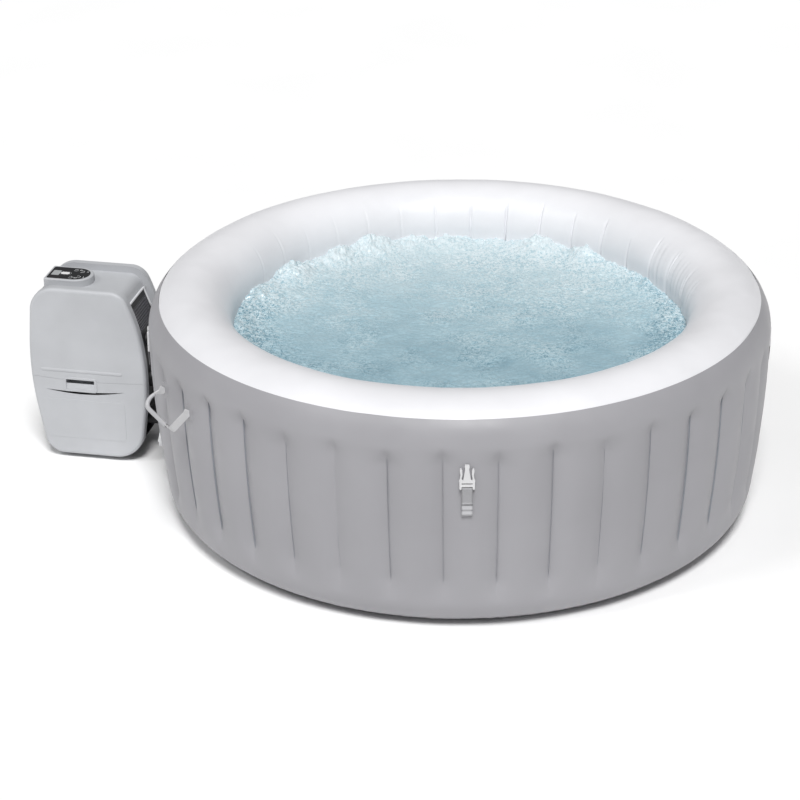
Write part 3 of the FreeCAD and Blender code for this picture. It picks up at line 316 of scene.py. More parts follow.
def woven(name, colour, roughness=0.7):
    """Webbing: ribs crossed by weft from the strap's own measures, painted shade towards both edges, and
    lighter stitched bands where the piece is painted with them."""
    material, tree, shader = new_material(name, roughness, Sheen_Weight=0.25)
    along = node(tree, "Attribute", attribute_name="along").outputs["Fac"]
    across = node(tree, "Attribute", attribute_name="across").outputs["Fac"]
    waves = []
    for value, pitch in ((along, 0.0022), (across, 0.0030)):
        scaled = node(tree, "Math", operation="MULTIPLY")
        scaled.inputs[1].default_value = 2 * math.pi / pitch
        tree.links.new(value, scaled.inputs[0])
        wave = node(tree, "Math", operation="SINE")
        tree.links.new(scaled.outputs[0], wave.inputs[0])
        waves.append(wave.outputs[0])
    product = node(tree, "Math", operation="MULTIPLY")
    tree.links.new(waves[0], product.inputs[0])
    tree.links.new(waves[1], product.inputs[1])
    tone = colour_between(tree, product.outputs[0], shade(colour, 0.86), shade(colour, 1.08), 0.0, 0.8)
    edge = node(tree, "Math", operation="ABSOLUTE")
    tree.links.new(across, edge.inputs[0])
    # painted shade: the strap darkens to 0.72 of its tone towards both edges
    edge_shade = between(tree, edge.outputs[0], 1.0, 0.72, WEBBING / 2 - 0.0030, WEBBING / 2 - 0.0008)
    band = node(tree, "Attribute", attribute_name="band").outputs["Fac"]
    factor = node(tree, "Math", operation="MULTIPLY_ADD")
    tree.links.new(band, factor.inputs[0])
    factor.inputs[1].default_value = 0.55
    tree.links.new(edge_shade, factor.inputs[2])
    mixed = node(tree, "VectorMath", operation="SCALE")
    tree.links.new(tone, mixed.inputs[0])
    tree.links.new(factor.outputs[0], mixed.inputs["Scale"])
    tree.links.new(mixed.outputs[0], shader.inputs["Base Color"])
    bump(tree, shader, product.outputs[0], 0.6, 0.0004)
    return material


def brushed(name, colour, roughness=0.32):
    """Metal with fine streaks round it."""
    material, tree, shader = new_material(name, roughness, Metallic=1.0)
    place = node(tree, "Mapping", vector_type="POINT")
    place.inputs["Scale"].default_value = (40.0, 40.0, 900.0)
    tree.links.new(place_of(tree), place.inputs["Vector"])
    streaks = noise_of(tree, 1.0, 4.0, place.outputs["Vector"])
    tone = colour_between(tree, streaks, shade(colour, 0.9), colour)
    tree.links.new(tone, shader.inputs["Base Color"])
    gloss = between(tree, streaks, roughness - 0.08, roughness + 0.1)
    tree.links.new(gloss, shader.inputs["Roughness"])
    bump(tree, shader, streaks, 0.2, 0.0001)
    return material


# noise nets for the water's painted highlights on the wave tops and painted shade in the troughs
GLINT_AND_SHADE_NETS = ((48.0, 1.6, 0.40), (110.0, 1.0, 0.42))    # how fine, how bent and how strong
WATER_TONES = ((0.0, (0.150, 0.265, 0.330)), (0.16, (0.290, 0.430, 0.495)), (0.36, (0.375, 0.520, 0.580)),
               (0.60, (0.500, 0.615, 0.655)), (1.0, (0.640, 0.715, 0.745)))


def water_material():
    """Aerated water: clear teal where it is calm, white where it is full of bubbles, with a fine net of
    painted highlights along the wave tops and painted shade in the troughs."""
    material, tree, shader = new_material("water", 0.10, IOR=1.33, Specular_IOR_Level=0.5)
    foam = node(tree, "Attribute", attribute_name="foam").outputs["Fac"]
    # how strongly the painted highlights and painted shade show at each point
    glint_and_shade_strength = node(tree, "Attribute", attribute_name="glint_and_shade_strength").outputs["Fac"]
    place = place_of(tree)
    total = foam
    for scale, distortion, amount in GLINT_AND_SHADE_NETS:
        web = node(tree, "TexNoise", Scale=scale, Detail=2.0, Roughness=0.55, Distortion=distortion)
        tree.links.new(place, web.inputs["Vector"])
        centred = node(tree, "Math", operation="SUBTRACT")
        tree.links.new(web.outputs["Fac"], centred.inputs[0])
        centred.inputs[1].default_value = 0.5
        fold = node(tree, "Math", operation="ABSOLUTE")
        tree.links.new(centred.outputs[0], fold.inputs[0])
        # painted highlight along the wave tops, painted shade in the troughs
        glint_and_shade = between(tree, fold.outputs[0], amount, -0.40 * amount, 0.0, 0.10)
        scaled = node(tree, "Math", operation="MULTIPLY_ADD")
        tree.links.new(glint_and_shade, scaled.inputs[0])
        tree.links.new(glint_and_shade_strength, scaled.inputs[1])
        tree.links.new(total, scaled.inputs[2])
        total = scaled.outputs[0]
    ramp = node(tree, "ValToRGB")
    while len(ramp.color_ramp.elements) < len(WATER_TONES):
        ramp.color_ramp.elements.new(0.5)
    for element, (position, colour) in zip(ramp.color_ramp.elements, WATER_TONES):
        element.position = position
        element.color = (*colour, 1)
    tree.links.new(total, ramp.inputs["Fac"])
    tree.links.new(ramp.outputs["Color"], shader.inputs["Base Color"])
    tree.links.new(between(tree, foam, 0.08, 0.40, 0.3, 1.0), shader.inputs["Roughness"])
    bump(tree, shader, noise_of(tree, 240.0, 4.0, place), 0.5, 0.0012)
    return material


GREY = (0.328, 0.324, 0.343)
WHITE = (0.780, 0.780, 0.805)
CASING = (0.475, 0.485, 0.505)

MATERIALS = {
    "tub_grey": vinyl("tub_grey", GREY, 0.46),
    "tub_white": vinyl("tub_white", WHITE, 0.42),
    "tub_base": vinyl("tub_base", (0.30, 0.32, 0.35), 0.55),
    "white_pvc": moulded("white_pvc", (0.72, 0.73, 0.74), 0.40),
    "filter_paper": moulded("filter_paper", (0.80, 0.81, 0.80), 0.85, grain=350.0, relief=0.5),
    "webbing": woven("webbing", (0.37, 0.37, 0.385)),
    "buckle_plastic": moulded("buckle_plastic", (0.66, 0.66, 0.67), 0.32),
    "grip_plastic": moulded("grip_plastic", (0.45, 0.45, 0.465), 0.50),
    "casing_grey": moulded("casing_grey", CASING, 0.42, grain=700.0, relief=0.35, Specular_IOR_Level=0.45),
    "black_plastic": moulded("black_plastic", (0.018, 0.018, 0.020), 0.50),
    "grille_grey": moulded("grille_grey", (0.10, 0.10, 0.11), 0.55),
    "panel_black": moulded("panel_black", (0.012, 0.012, 0.014), 0.22, relief=0.05),
    "key_black": moulded("key_black", (0.022, 0.022, 0.025), 0.35),
    "key_white": moulded("key_white", (0.82, 0.82, 0.83), 0.30),
    "display": moulded("display", (0.42, 0.44, 0.45), 0.12, relief=0.02, Coat_Weight=0.6),
    "board_green": moulded("board_green", (0.03, 0.12, 0.05), 0.35),
    "motor_metal": brushed("motor_metal", (0.35, 0.35, 0.36)),
    "stainless": brushed("stainless", (0.62, 0.62, 0.63), 0.25),
    "rubber": moulded("rubber", (0.03, 0.03, 0.032), 0.75),
}
WATER = water_material()
LIP = moulded("back_lip", (0.80, 0.81, 0.83), 0.35)
HANDLE_WEBBING = woven("handle_webbing", (0.64, 0.64, 0.65))
LEGEND = moulded("legend_white", (0.75, 0.76, 0.77), 0.5, relief=0.05)


def wear(made, slot, material=None):
    """Give a piece a finish: the material given, else the one for the record's slot."""
    made.data.materials.clear()
    made.data.materials.append(material or MATERIALS[slot])


def dress_cad_nodes():
    """Each CAD node gets the finish that its slot in the record names."""
    for entry in frame["record"]["subparts"]:
        made = frame["nodes"][entry["node"]]
        made.data.materials.clear()
        made.data.materials.append(MATERIALS[entry["material_slot"]])


# ---------------------------------------------------------------- air wall
def arc_profile(centre, radius, start, end, count):
    """Points on an arc, as (radius, height) about the tub's axis, with their outward normals."""
    turns = np.radians(np.linspace(start, end, count))
    normals = np.stack([np.cos(turns), np.sin(turns)], 1)
    return np.array(centre) + radius * normals, normals


def join_profiles(*parts):
    """Profiles run on from one another, so each one's first point repeats the last."""
    points = np.concatenate([parts[0][0]] + [p[0][1:] for p in parts[1:]])
    normals = np.concatenate([parts[0][1]] + [p[1][1:] for p in parts[1:]])
    return points, normals


def crowded_headings(per_bay):
    """Headings round the tub, closer together towards each web."""
    share = np.linspace(-1, 1, per_bay, endpoint=False)
    share = np.sign(share) * (1 - (1 - np.abs(share)) ** 1.6)
    bays = np.arange(WEB_COUNT)[:, None] + share / 2
    return (WEB_START + WEB_PITCH * bays).ravel()


def web_strengths(seed, spread):
    """How strongly each web holds its crease in."""
    strengths = 1 + spread * np.random.RandomState(seed).uniform(-1, 1, WEB_COUNT)
    strengths[MISSING_WEB] = 0.0
    return strengths


def bay_place(headings):
    """How far each heading is from the nearest web, 0 at the web and 1 midway, and which web."""
    turns = (headings - WEB_START) / WEB_PITCH - 0.5
    nearest = np.round(turns)
    return np.abs(turns - nearest) * 2, nearest.astype(int) % WEB_COUNT


def lathe_grid(profile, normals, headings):
    """Grids of places and outward directions, one row per profile point."""
    turns = np.radians(headings)
    around = np.stack([np.cos(turns), np.sin(turns), np.zeros(len(turns))], 1)
    up = np.array([0.0, 0.0, 1.0])
    places = profile[:, :1, None] * around + profile[:, 1:, None] * up
    outward = normals[:, :1, None] * around + normals[:, 1:, None] * up
    return places, outward


def ridge(a, b, start, end, width):
    """1 along the line from start to end in wall measures, falling off over width."""
    start, end = np.array(start), np.array(end)
    run = end - start
    share = ((a - start[0]) * run[0] + (b - start[1]) * run[1]) / (run @ run)
    near = np.clip(share, 0, 1)
    gap = np.hypot(a - start[0] - near * run[0], b - start[1] - near * run[1])
    taper = np.sin(np.pi * np.clip(near, 0.02, 0.98)) ** 0.5
    return np.exp(-(gap / width) ** 2) * taper


# Folds at a handle's end: from, to (along the wall and up from the handle) and how far they stand out.
PUCKERS = [((-0.020, 0.030), (0.026, 0.016), 0.0022), ((-0.012, 0.036), (0.030, 0.024), -0.0014),
           ((0.014, -0.004), (0.034, -0.010), 0.0016), ((0.010, -0.014), (0.028, -0.022), 0.0014),
           ((0.002, -0.022), (0.016, -0.034), 0.0012)]
PUCKER_WIDTH = 0.0035
HANDLE_HEADINGS = ((209.3, 1), (29.3, -1))
HANDLE_HEIGHT = 0.460
HANDLE_HALF_SPAN = 0.079    # half the distance between a handle's ends
HANDLE_HALF_TURN = math.degrees(HANDLE_HALF_SPAN / TUB_RADIUS)


def handle_puckers(headings, heights):
    """Small folds that each handle end pulls in the wall."""
    raised = np.zeros(heights.shape)
    for middle, mirror in HANDLE_HEADINGS:
        for end in (-HANDLE_HALF_TURN, HANDLE_HALF_TURN):
            turn = (headings - middle - end + 180) % 360 - 180
            a = np.radians(turn) * TUB_RADIUS * mirror
            b = heights - HANDLE_HEIGHT
            for start, finish, height in PUCKERS:
                raised += height * ridge(a, b, start, finish, PUCKER_WIDTH)
    return raised


CREASE_TOP = 0.545
NIP_DROP, NIP_WIDTH = 0.034, 0.018      # the deeper nip below each crease's top


def outer_wall():
    """Grey wall from the colour seam down to the floor, creased where the webs hold it."""
    profile, normals = join_profiles(
        arc_profile(RIM_CENTRE, RIM_RADIUS, SEAM_ANGLE, 0, 16),
        arc_profile(WALL_CENTRE, WALL_ARC, 0, WALL_TURN, 74),
        arc_profile(CORNER_CENTRE, CORNER_RADIUS, WALL_TURN, -90, 14),
    )
    headings = crowded_headings(26)
    places, outward = lathe_grid(profile, normals, headings)
    heights = np.broadcast_to(profile[:, 1:], places.shape[:2])
    turn, web = bay_place(headings)
    soft = np.sqrt(turn ** 2 + 0.04 ** 2)
    strength = web_strengths(3, 0.18)[web]
    top = CREASE_TOP + 0.010 * np.random.RandomState(5).uniform(-1, 1, WEB_COUNT)[web]
    span = step(top, top - 0.060, heights) * step(0.075, 0.160, heights)
    sink = OUTER_CREASE * strength * np.clip(1 - soft, 0, 1) ** 2 * span
    nip = np.exp(-((heights - top + NIP_DROP) / NIP_WIDTH) ** 2)
    sink += 0.0022 * strength * np.exp(-(turn / 0.16) ** 2) * nip
    flat = places.reshape(-1, 3)
    drift = noise(flat, 7.0, 1) * 0.0009 + noise(flat, 21.0, 2) * 0.0003
    sink += 0.0008 + drift.reshape(heights.shape) * step(0.0, 0.05, heights)
    sink -= handle_puckers(headings, heights)
    foot = step(0.060, 0.012, heights)
    sink += foot * (0.0012 + 0.0012 * noise(flat * (1, 1, 0.2), 60.0, 4).reshape(heights.shape))
    sink[-1] = 0.0
    made = grid_object("outer_wall_skin", places - outward * sink[..., None], True)
    wear(made, "tub_grey")
    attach(made, "tub")
    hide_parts("outer_wall")


# fine folds at the right end of the water: heading and depth
INNER_FOLDS = [(3.0 + 2.3 * i + 0.6 * math.sin(5.1 * i), 0.8 + 0.5 * math.sin(2.7 * i)) for i in range(12)]


def inner_folds(headings, heights, turns):
    """Fine folds that fan out over the rim at the right end of the water."""
    sink = np.zeros(heights.shape)
    rise = step(0.43, 0.50, heights) * step(28.0, 58.0, turns)
    lean = (heights - 0.50) * 28.0
    for middle, depth in INNER_FOLDS:
        gap = (headings - middle + 180) % 360 - 180
        gap = gap - lean * (middle - 14) / 60
        sink += 0.0020 * depth * np.exp(-(gap / 0.42) ** 2) * rise
    return sink


RIM_ROWS, INNER_ROWS = 52, 62
CREASE_HEADING = 40.0       # where the inner creases are deepest
GROOVE, GROOVE_WIDTH = 0.0046, 0.055
WELT, WELT_WIDTH, WELT_PLACE = 0.0022, 0.05, 0.11


def top_and_inner_wall():
    """White sheet from the colour seam over the rim and down inside the tub."""
    rim, rim_normals = arc_profile(RIM_CENTRE, RIM_RADIUS, SEAM_ANGLE, 180, RIM_ROWS)
    drop = np.linspace(RIM_CENTRE[1], SHEET, INNER_ROWS)
    wall = np.stack([np.full(len(drop), INNER_RADIUS), drop], 1)
    profile, normals = join_profiles((rim, rim_normals), (wall, np.tile([-1.0, 0.0], (len(drop), 1))))
    headings = crowded_headings(28)
    places, outward = lathe_grid(profile, normals, headings)
    heights = np.broadcast_to(profile[:, 1:], places.shape[:2])
    rim_turn = np.zeros(len(profile))
    rim_turn[:RIM_ROWS] = np.linspace(180 - SEAM_ANGLE, 0, RIM_ROWS)
    rim_turn = rim_turn[:, None]
    turn, web = bay_place(headings)
    soft = np.sqrt(turn ** 2 + 0.02 ** 2)
    side = np.cos(np.radians(headings - CREASE_HEADING))
    strength = web_strengths(8, 0.25)[web] * (0.15 + 0.85 * step(0.25, 0.85, side))
    top = 50.0 + 12.0 * np.random.RandomState(9).uniform(-1, 1, WEB_COUNT)[web]
    span = step(top, top - 34.0, rim_turn) * step(0.03, 0.10, heights)
    sink = INNER_CREASE * strength * np.clip(1 - soft, 0, 1) ** 2 * span
    sink += GROOVE * strength * np.exp(-(turn / GROOVE_WIDTH) ** 2) * span
    beside = (headings - WEB_START) / WEB_PITCH - 0.5
    beside = (beside - np.round(beside)) * 2
    sink -= WELT * strength * np.exp(-((beside + WELT_PLACE) / WELT_WIDTH) ** 2) * span
    sink += inner_folds(headings, heights, 90 - rim_turn)
    flat = places.reshape(-1, 3)
    drift = noise(flat, 6.0, 3) * 0.0012 + noise(flat, 24.0, 5) * 0.0003
    sink += 0.0010 + drift.reshape(heights.shape)
    made = grid_object("rim_and_inner_skin", places - outward * sink[..., None], True)
    wear(made, "tub_white")
    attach(made, "tub")
    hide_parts("top_and_inner_wall")


def base_sheet():
    """Floor of the tub: a disc that lies flat, with a slight quilting and a welded border."""
    quilted = np.linspace(0.0, 0.60, 60)[1:]
    border = np.linspace(0.60, CORNER_CENTRE[0] + 0.001, 20)[1:]
    radii = np.concatenate([quilted, border])
    turns = np.radians(np.arange(0, 360, 1.5))
    x = np.outer(radii, np.cos(turns))
    y = np.outer(radii, np.sin(turns))
    grids = []
    for height, lift in ((SHEET, 0.0015), (0.0, 0.0)):
        flat = np.stack([x, y, np.zeros_like(x)], -1)
        wave = 0.5 + 0.5 * noise(flat.reshape(-1, 3), 9.0, 6).reshape(x.shape)
        flat[..., 2] = height + lift * wave * step(0.62, 0.55, np.hypot(x, y))
        grids.append(flat)
    grid = np.concatenate([grids[0], grids[1][::-1]])
    columns = grid.shape[1]
    vertices = grid.reshape(-1, 3).tolist()
    faces = grid_faces(grid.shape[0], columns, True).tolist()
    faces.append(list(range(columns))[::-1])
    faces.append(list(range(len(vertices) - columns, len(vertices))))
    made = mesh_object("base_skin", vertices, faces)
    wear(made, "tub_base")
    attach(made, "tub")
    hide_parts("base_sheet")


WEB_BOTTOM, WEB_TOP = 0.121, 0.519
WEB_GAPS = (0.010, 0.014)   # clear of the inner and the outer wall


def tension_webs():
    """Thin vinyl webs inside the air wall, each with a slight slack wave."""
    heights = np.linspace(WEB_BOTTOM, WEB_TOP, 24)
    outer = WALL_CENTRE[0] + np.sqrt(WALL_ARC ** 2 - (heights - WALL_CENTRE[1]) ** 2)
    share = np.linspace(0, 1, 12)
    vertices, faces = [], []
    start = INNER_RADIUS + WEB_GAPS[0]
    for number in range(WEB_COUNT):
        if number == MISSING_WEB:
            continue
        turn = math.radians(WEB_START + WEB_PITCH * (number + 0.5))
        reach = start + (outer[:, None] - WEB_GAPS[1] - start) * share
        wave = 0.002 * np.sin(math.pi * share) * np.sin(9.0 * heights[:, None] + number)
        x = reach * math.cos(turn) - wave * math.sin(turn)
        y = reach * math.sin(turn) + wave * math.cos(turn)
        grid = np.stack([x, y, np.broadcast_to(heights[:, None], x.shape)], -1)
        faces += (grid_faces(len(heights), len(share), False) + len(vertices)).tolist()
        vertices += grid.reshape(-1, 3).tolist()
    made = mesh_object("tension_web_sheets", vertices, faces)
    wear(made, "tub_base")
    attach(made, "tub")
    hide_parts("tension_webs")


# ---------------------------------------------------------------- water
# heaps of froth at the wall: heading, height and how far round they reach
FROTH_HEAPS = [(178, 0.010, 8), (160, 0.018, 7), (143, 0.036, 5), (126, 0.026, 5), (115, 0.036, 6),
               (102, 0.020, 6), (92, 0.014, 5), (80, 0.008, 4), (67.5, 0.038, 5.5), (54.5, 0.028, 5),
               (44, 0.006, 4), (31, 0.008, 7), (9, 0.007, 8), (-8, 0.004, 8)]
WATER_COUNT = 420           # points along each side of the water's grid


def disc_grid(count, radius):
    """Square grid bent into a disc, so that its points are spread evenly."""
    side = np.linspace(-1, 1, count)
    a, b = np.meshgrid(side, side)
    wide = np.abs(a) > np.abs(b)
    reach = np.where(wide, a, b)
    other = np.where(wide, b, a)
    turn = np.divide(other, reach, out=np.zeros_like(reach), where=np.abs(reach) > 1e-9) * math.pi / 4
    near, far = reach * np.cos(turn), reach * np.sin(turn)
    return radius * np.where(wide, near, far), radius * np.where(wide, far, near)


def water_height(flat, calm, froth, edge, heading):
    """Height of the surface and of the froth that is heaped on it, and the heaps' own unevenness."""
    rough = 1 - 0.45 * calm
    swell = 0.0022 * noise(flat, 6.5, 1) + 0.0018 * noise(flat, 14.0, 2)
    bent = flat + 0.012 * np.stack([noise(flat, 24.0, 21), noise(flat, 24.0, 22), np.zeros(len(flat))], 1)
    ridged = 1 - 2 * np.abs(noise(bent, 42.0, 3))
    cells = 1 - 2 * np.abs(noise(bent, 85.0, 13))
    patchy = 0.5 + 0.5 * noise(flat, 11.0, 4)
    chop = rough * (0.0034 * ridged * patchy + 0.0022 * cells * (1 - 0.5 * patchy))
    ripple = rough * (0.0014 * noise(flat, 120.0, 5) + 0.0008 * noise(flat, 210.0, 6))
    heap = 0.85 + 0.22 * noise(flat, 20.0, 8) + 0.20 * noise(flat, 60.0, 9) + 0.12 * noise(flat, 130.0, 14)
    pile = np.full(len(flat), 0.006)
    for middle, size, width in FROTH_HEAPS:
        gap = (heading - middle + 180) % 360 - 180
        pile = pile + size * np.exp(-(gap / width) ** 2)
    mound = (edge ** 1.5 * pile + 0.008 * froth) * np.clip(heap, 0.2, 1.6)
    return WATER_LEVEL + swell + chop + ripple + mound, mound, heap


def water():
    """Bubbling surface: calm near the front, white and heaped at the wall round the back."""
    x, y = disc_grid(WATER_COUNT, INNER_RADIUS + 0.006)
    flat = np.stack([x.ravel(), y.ravel(), np.zeros(x.size)], 1)
    radius = np.hypot(flat[:, 0], flat[:, 1])
    heading = np.degrees(np.arctan2(flat[:, 1], flat[:, 0]))
    depth = flat[:, 1] / INNER_RADIUS
    back = np.cos(np.radians(heading - 108))
    edge = step(0.50, 0.61, radius)
    froth = step(0.36, 0.60, radius) * step(-0.10, 0.65, back)
    calm = step(0.55, -0.30, depth) * step(0.58, 0.40, radius)
    height, mound, heap = water_height(flat, calm, froth, edge, heading)
    foam = 0.16 + 0.34 * step(-0.45, 0.85, depth)
    foam += 0.06 * froth * heap + 0.42 * np.clip(mound / 0.045, 0, 0.9)
    foam += 0.07 * noise(flat, 7.0, 11) + 0.06 * noise(flat, 22.0, 12)
    ends = step(0.45, 0.61, radius) * step(0.55, 0.95, np.abs(flat[:, 0]) / INNER_RADIUS)
    foam -= 0.16 * ends
    # how strongly the painted highlights and painted shade show: more in the froth and at the ends, less
    # where calm
    glint_and_shade_strength = 0.38 + 0.45 * froth + 0.70 * ends - 0.20 * calm + 0.45 * noise(flat, 9.0, 15)
    vertices = np.stack([flat[:, 0], flat[:, 1], height], 1)
    faces = grid_faces(WATER_COUNT, WATER_COUNT, False)
    made = mesh_object("water", vertices.tolist(), faces.tolist())
    paint(made, "foam", np.clip(foam, 0, 1))
    paint(made, "glint_and_shade_strength", np.clip(glint_and_shade_strength, 0.05, 1))
    made.data.materials.append(WATER)
    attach(made, "tub")


# ---------------------------------------------------------------- straps and handles
JOINTS = {joint["name"]: joint for joint in frame["record"]["behaviour"]["joints"]}
UP = Vector((0, 0, 1))


def heading_at(place):
    return math.degrees(math.atan2(place[1], place[0]))


def wall_radius(height):
    """The outer wall's full bulge at a height."""
    return WALL_CENTRE[0] + math.sqrt(WALL_ARC ** 2 - (height - WALL_CENTRE[1]) ** 2)


BUCKLE_PATCH = (0.031, 0.021)           # across and up the wall
BUCKLE_PATCH_HEIGHT = 0.3605
HANDLE_PATCH = (0.036, 0.042)
PATCH_THICKNESS = 0.0028
PATCH_SUNK = 0.0012         # how far a patch's middle lies inside the wall's full bulge


def patch(heading, offset, height, size, corner):
    """Welded patch that hugs the wall, as one strand up the wall."""
    width, tall = size
    rows = np.linspace(-0.5, 0.5, 30) * tall
    turn = math.radians(heading) + offset / TUB_RADIUS
    out = np.array([math.cos(turn), math.sin(turn), 0.0])
    way = np.array([-out[1], out[0], 0.0])
    centres, sizes = [], []
    for row in rows:
        beyond = max(0.0, abs(row) - (tall / 2 - corner))
        half = width / 2 - corner + math.sqrt(max(corner ** 2 - beyond ** 2, 1e-7))
        reach = wall_radius(height + row) - PATCH_SUNK
        centres.append(out * reach + np.array([0, 0, height + row]))
        sizes.append((2 * half, PATCH_THICKNESS))
    return strand(centres, way, sizes, 8.0)


def strap_patches():
    """One welded patch under each buckle strap and under each end of the handles."""
    strands = []
    for side in ("front", "right", "back", "left"):
        heading = heading_at(JOINTS["buckle_fold_" + side]["pos_m"])
        strands.append(patch(heading, 0.0, BUCKLE_PATCH_HEIGHT, BUCKLE_PATCH, 0.004))
    for side in ("left", "right"):
        heading = heading_at(JOINTS["handle_swing_" + side]["pos_m"])
        for end in (-HANDLE_HALF_SPAN, HANDLE_HALF_SPAN):
            strands.append(patch(heading, end, HANDLE_HEIGHT, HANDLE_PATCH, 0.006))
    made = strands_object("strap_patch_sheets", strands)
    wear(made, "tub_grey")
    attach(made, "tub")
    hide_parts("strap_patches")


BUCKLE_BAR = 0.4325         # height of the bar that the strap goes over
BAR_OUT = 0.0039            # how far the bar stands off the wall
BAR_REACH = 0.0028          # from the bar's middle to the middle of the webbing
STRAP_FOOT = 0.3555
STRAP_TAIL = 0.390
STITCHED = ((0.3600, 0.3680), (0.3740, 0.3830))
STRAP_UP, STRAP_OVER, STRAP_DOWN = 80, 12, 48       # stations behind, over and before the bar


def buckle_strap(side):
    """Webbing welded to the wall, up behind the buckle's bar, over it and down in front."""
    joint = JOINTS["buckle_fold_" + side]
    heading = heading_at(joint["pos_m"])
    out, way = heading_of(heading), heading_of(heading + 90)
    bar = TUB_RADIUS + BAR_OUT
    back, front = bar - BAR_REACH, bar + BAR_REACH
    line = []
    for height in np.linspace(STRAP_FOOT, BUCKLE_BAR, STRAP_UP, endpoint=False):
        lie = max(0.0, (BUCKLE_BAR - height - 0.050) / 0.030)
        line.append(out * (back - 0.0006 * lie) + UP * height)
    for turn in np.radians(np.linspace(180, 0, STRAP_OVER, endpoint=False)):
        across, rise = BAR_REACH * math.cos(turn), BAR_REACH * math.sin(turn)
        line.append(out * (bar + across) + UP * (BUCKLE_BAR + rise))
    for height in np.linspace(BUCKLE_BAR, STRAP_TAIL, STRAP_DOWN):
        line.append(out * (front - 0.0022 * (BUCKLE_BAR - height) / 0.05) + UP * height)
    sizes = [(WEBBING + 0.001, WEBBING_THICKNESS - 0.0002)] * len(line)
    made = strands_object("buckle_webbing_" + side, [strand(line, way, sizes, 7.0)])
    heights = np.repeat([point.z for point in line], SECTION_POINTS)
    behind = np.repeat(np.arange(len(line)) < STRAP_UP, SECTION_POINTS)
    band = sum(step(low - 0.0008, low, heights) * step(high + 0.0008, high, heights)
               for low, high in STITCHED)
    tail = step(STRAP_TAIL + 0.006, STRAP_TAIL + 0.003, heights) * ~behind
    paint(made, "band", band * behind + 0.5 * tail)
    wear(made, "webbing")
    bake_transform(made)
    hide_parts("buckle_strap_" + side)


# Each handle's line in its own frame: out along the hanging loop, along the wall, and across the loop.
HANDLE_LINE = [(-0.006, -0.079, 0.000), (0.004, -0.0795, 0.002), (0.015, -0.082, 0.008),
               (0.034, -0.0835, 0.011), (0.050, -0.0800, 0.008), (0.0575, -0.0690, 0.004),
               (0.0588, -0.045, 0.001), (0.0590, 0.0, 0.0), (0.0590, 0.045, 0.0), (0.0588, 0.066, 0.0),
               (0.0540, 0.0775, 0.0), (0.030, 0.0800, 0.001), (0.004, 0.0795, 0.0), (-0.006, 0.079, 0.0)]
TUBE_FROM, TUBE_TO = 0.026, 0.190       # stretch of the line inside the grip, from its first end
TUBE_RADIUS = 0.0060
MOUTH = ((0.003, 0.0016), (0.0004, 0.0014), (0.0, 0.0005))     # how far in, and how much narrower
HANDLE_DROOP = math.atan2(0.038, 0.045)


def handle_frame(side):
    """A handle's root on the wall, and the directions out, down its loop, along the wall and across."""
    root = Vector(JOINTS["handle_swing_" + side]["pos_m"])
    heading = heading_at(root)
    out, along = heading_of(heading), heading_of(heading + 90)
    down = out * math.cos(HANDLE_DROOP) - UP * math.sin(HANDLE_DROOP)
    across = out * math.sin(HANDLE_DROOP) + UP * math.cos(HANDLE_DROOP)
    return root, out, down, along, across


def carry_handle(side):
    """Webbing loop from wall to wall through a soft bent grip that has slid to one end."""
    root, out, down, along, across = handle_frame(side)
    line = smooth_line(HANDLE_LINE, 0.0015)
    places = np.array(root) + line @ np.array([down, along, across])
    places[:, 2] += 0.005 * np.clip((0.002 - line[:, 0]) / 0.008, 0, None)
    steps = np.linalg.norm(np.diff(line, axis=0), axis=1)
    distance = np.concatenate([[0], np.cumsum(steps)])
    narrow = step(0.004, 0.024, distance) * step(TUBE_TO + 0.012, TUBE_TO + 0.001, distance)
    sizes = [(0.0235 - 0.0150 * share, 0.0018 + 0.0026 * share) for share in narrow]
    made = strands_object("carry_handle_webbing_" + side, [strand(places, across, sizes, 6.0)])
    wear(made, "webbing", HANDLE_WEBBING)
    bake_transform(made)
    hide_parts("carry_handle_strap_" + side)
    inside = (distance >= TUBE_FROM) & (distance <= TUBE_TO)
    handle_tube(side, places[inside], distance[inside], across)


def handle_tube(side, tube, lengths, across):
    """Soft grip with fine rings, a little narrower at its first end, and mouths that turn inwards."""
    flare = step(TUBE_FROM, TUBE_FROM + 0.03, lengths)
    radii = TUBE_RADIUS - 0.0012 * (1 - flare) + 0.00012 * np.sin(lengths * 2 * math.pi / 0.004)
    first, last = tube[1] - tube[0], tube[-2] - tube[-1]
    mouths = []
    for end, way, radius in ((tube[0], first, radii[0]), (tube[-1], last, radii[-1])):
        way = way / np.linalg.norm(way)
        mouths.append([(end + way * inward, radius - narrower) for inward, narrower in MOUTH])
    stations = mouths[0] + list(zip(tube + first * 0.3, radii))[1:-1] + mouths[1][::-1]
    grip = ring_tube("carry_handle_tube_" + side, stations, across, tube)
    wear(grip, "grip_plastic")
    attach(grip, "carry_handle_" + side)
    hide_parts("carry_handle_grip_" + side)


def ring_tube(name, stations, way, line):
    """Round tube through (centre, radius) stations whose end stations turn back inside it."""
    run = np.gradient(line, axis=0)
    run /= np.linalg.norm(run, axis=1)[:, None]
    count = 24
    turns = np.arange(count) * 2 * math.pi / count
    points = []
    for centre, radius in stations:
        direction = run[np.argmin(np.linalg.norm(line - centre, axis=1))]
        side = np.array(way) - direction * np.dot(way, direction)
        side /= np.linalg.norm(side)
        other = np.cross(side, direction)
        points.append(centre + radius * (np.outer(np.cos(turns), side) + np.outer(np.sin(turns), other)))
    rows = len(points)
    faces = grid_faces(rows, count, True).tolist()
    faces.append(list(range(count)))
    faces.append(list(range(rows * count - 1, (rows - 1) * count - 1, -1)))
    return mesh_object(name, np.concatenate(points).tolist(), faces)


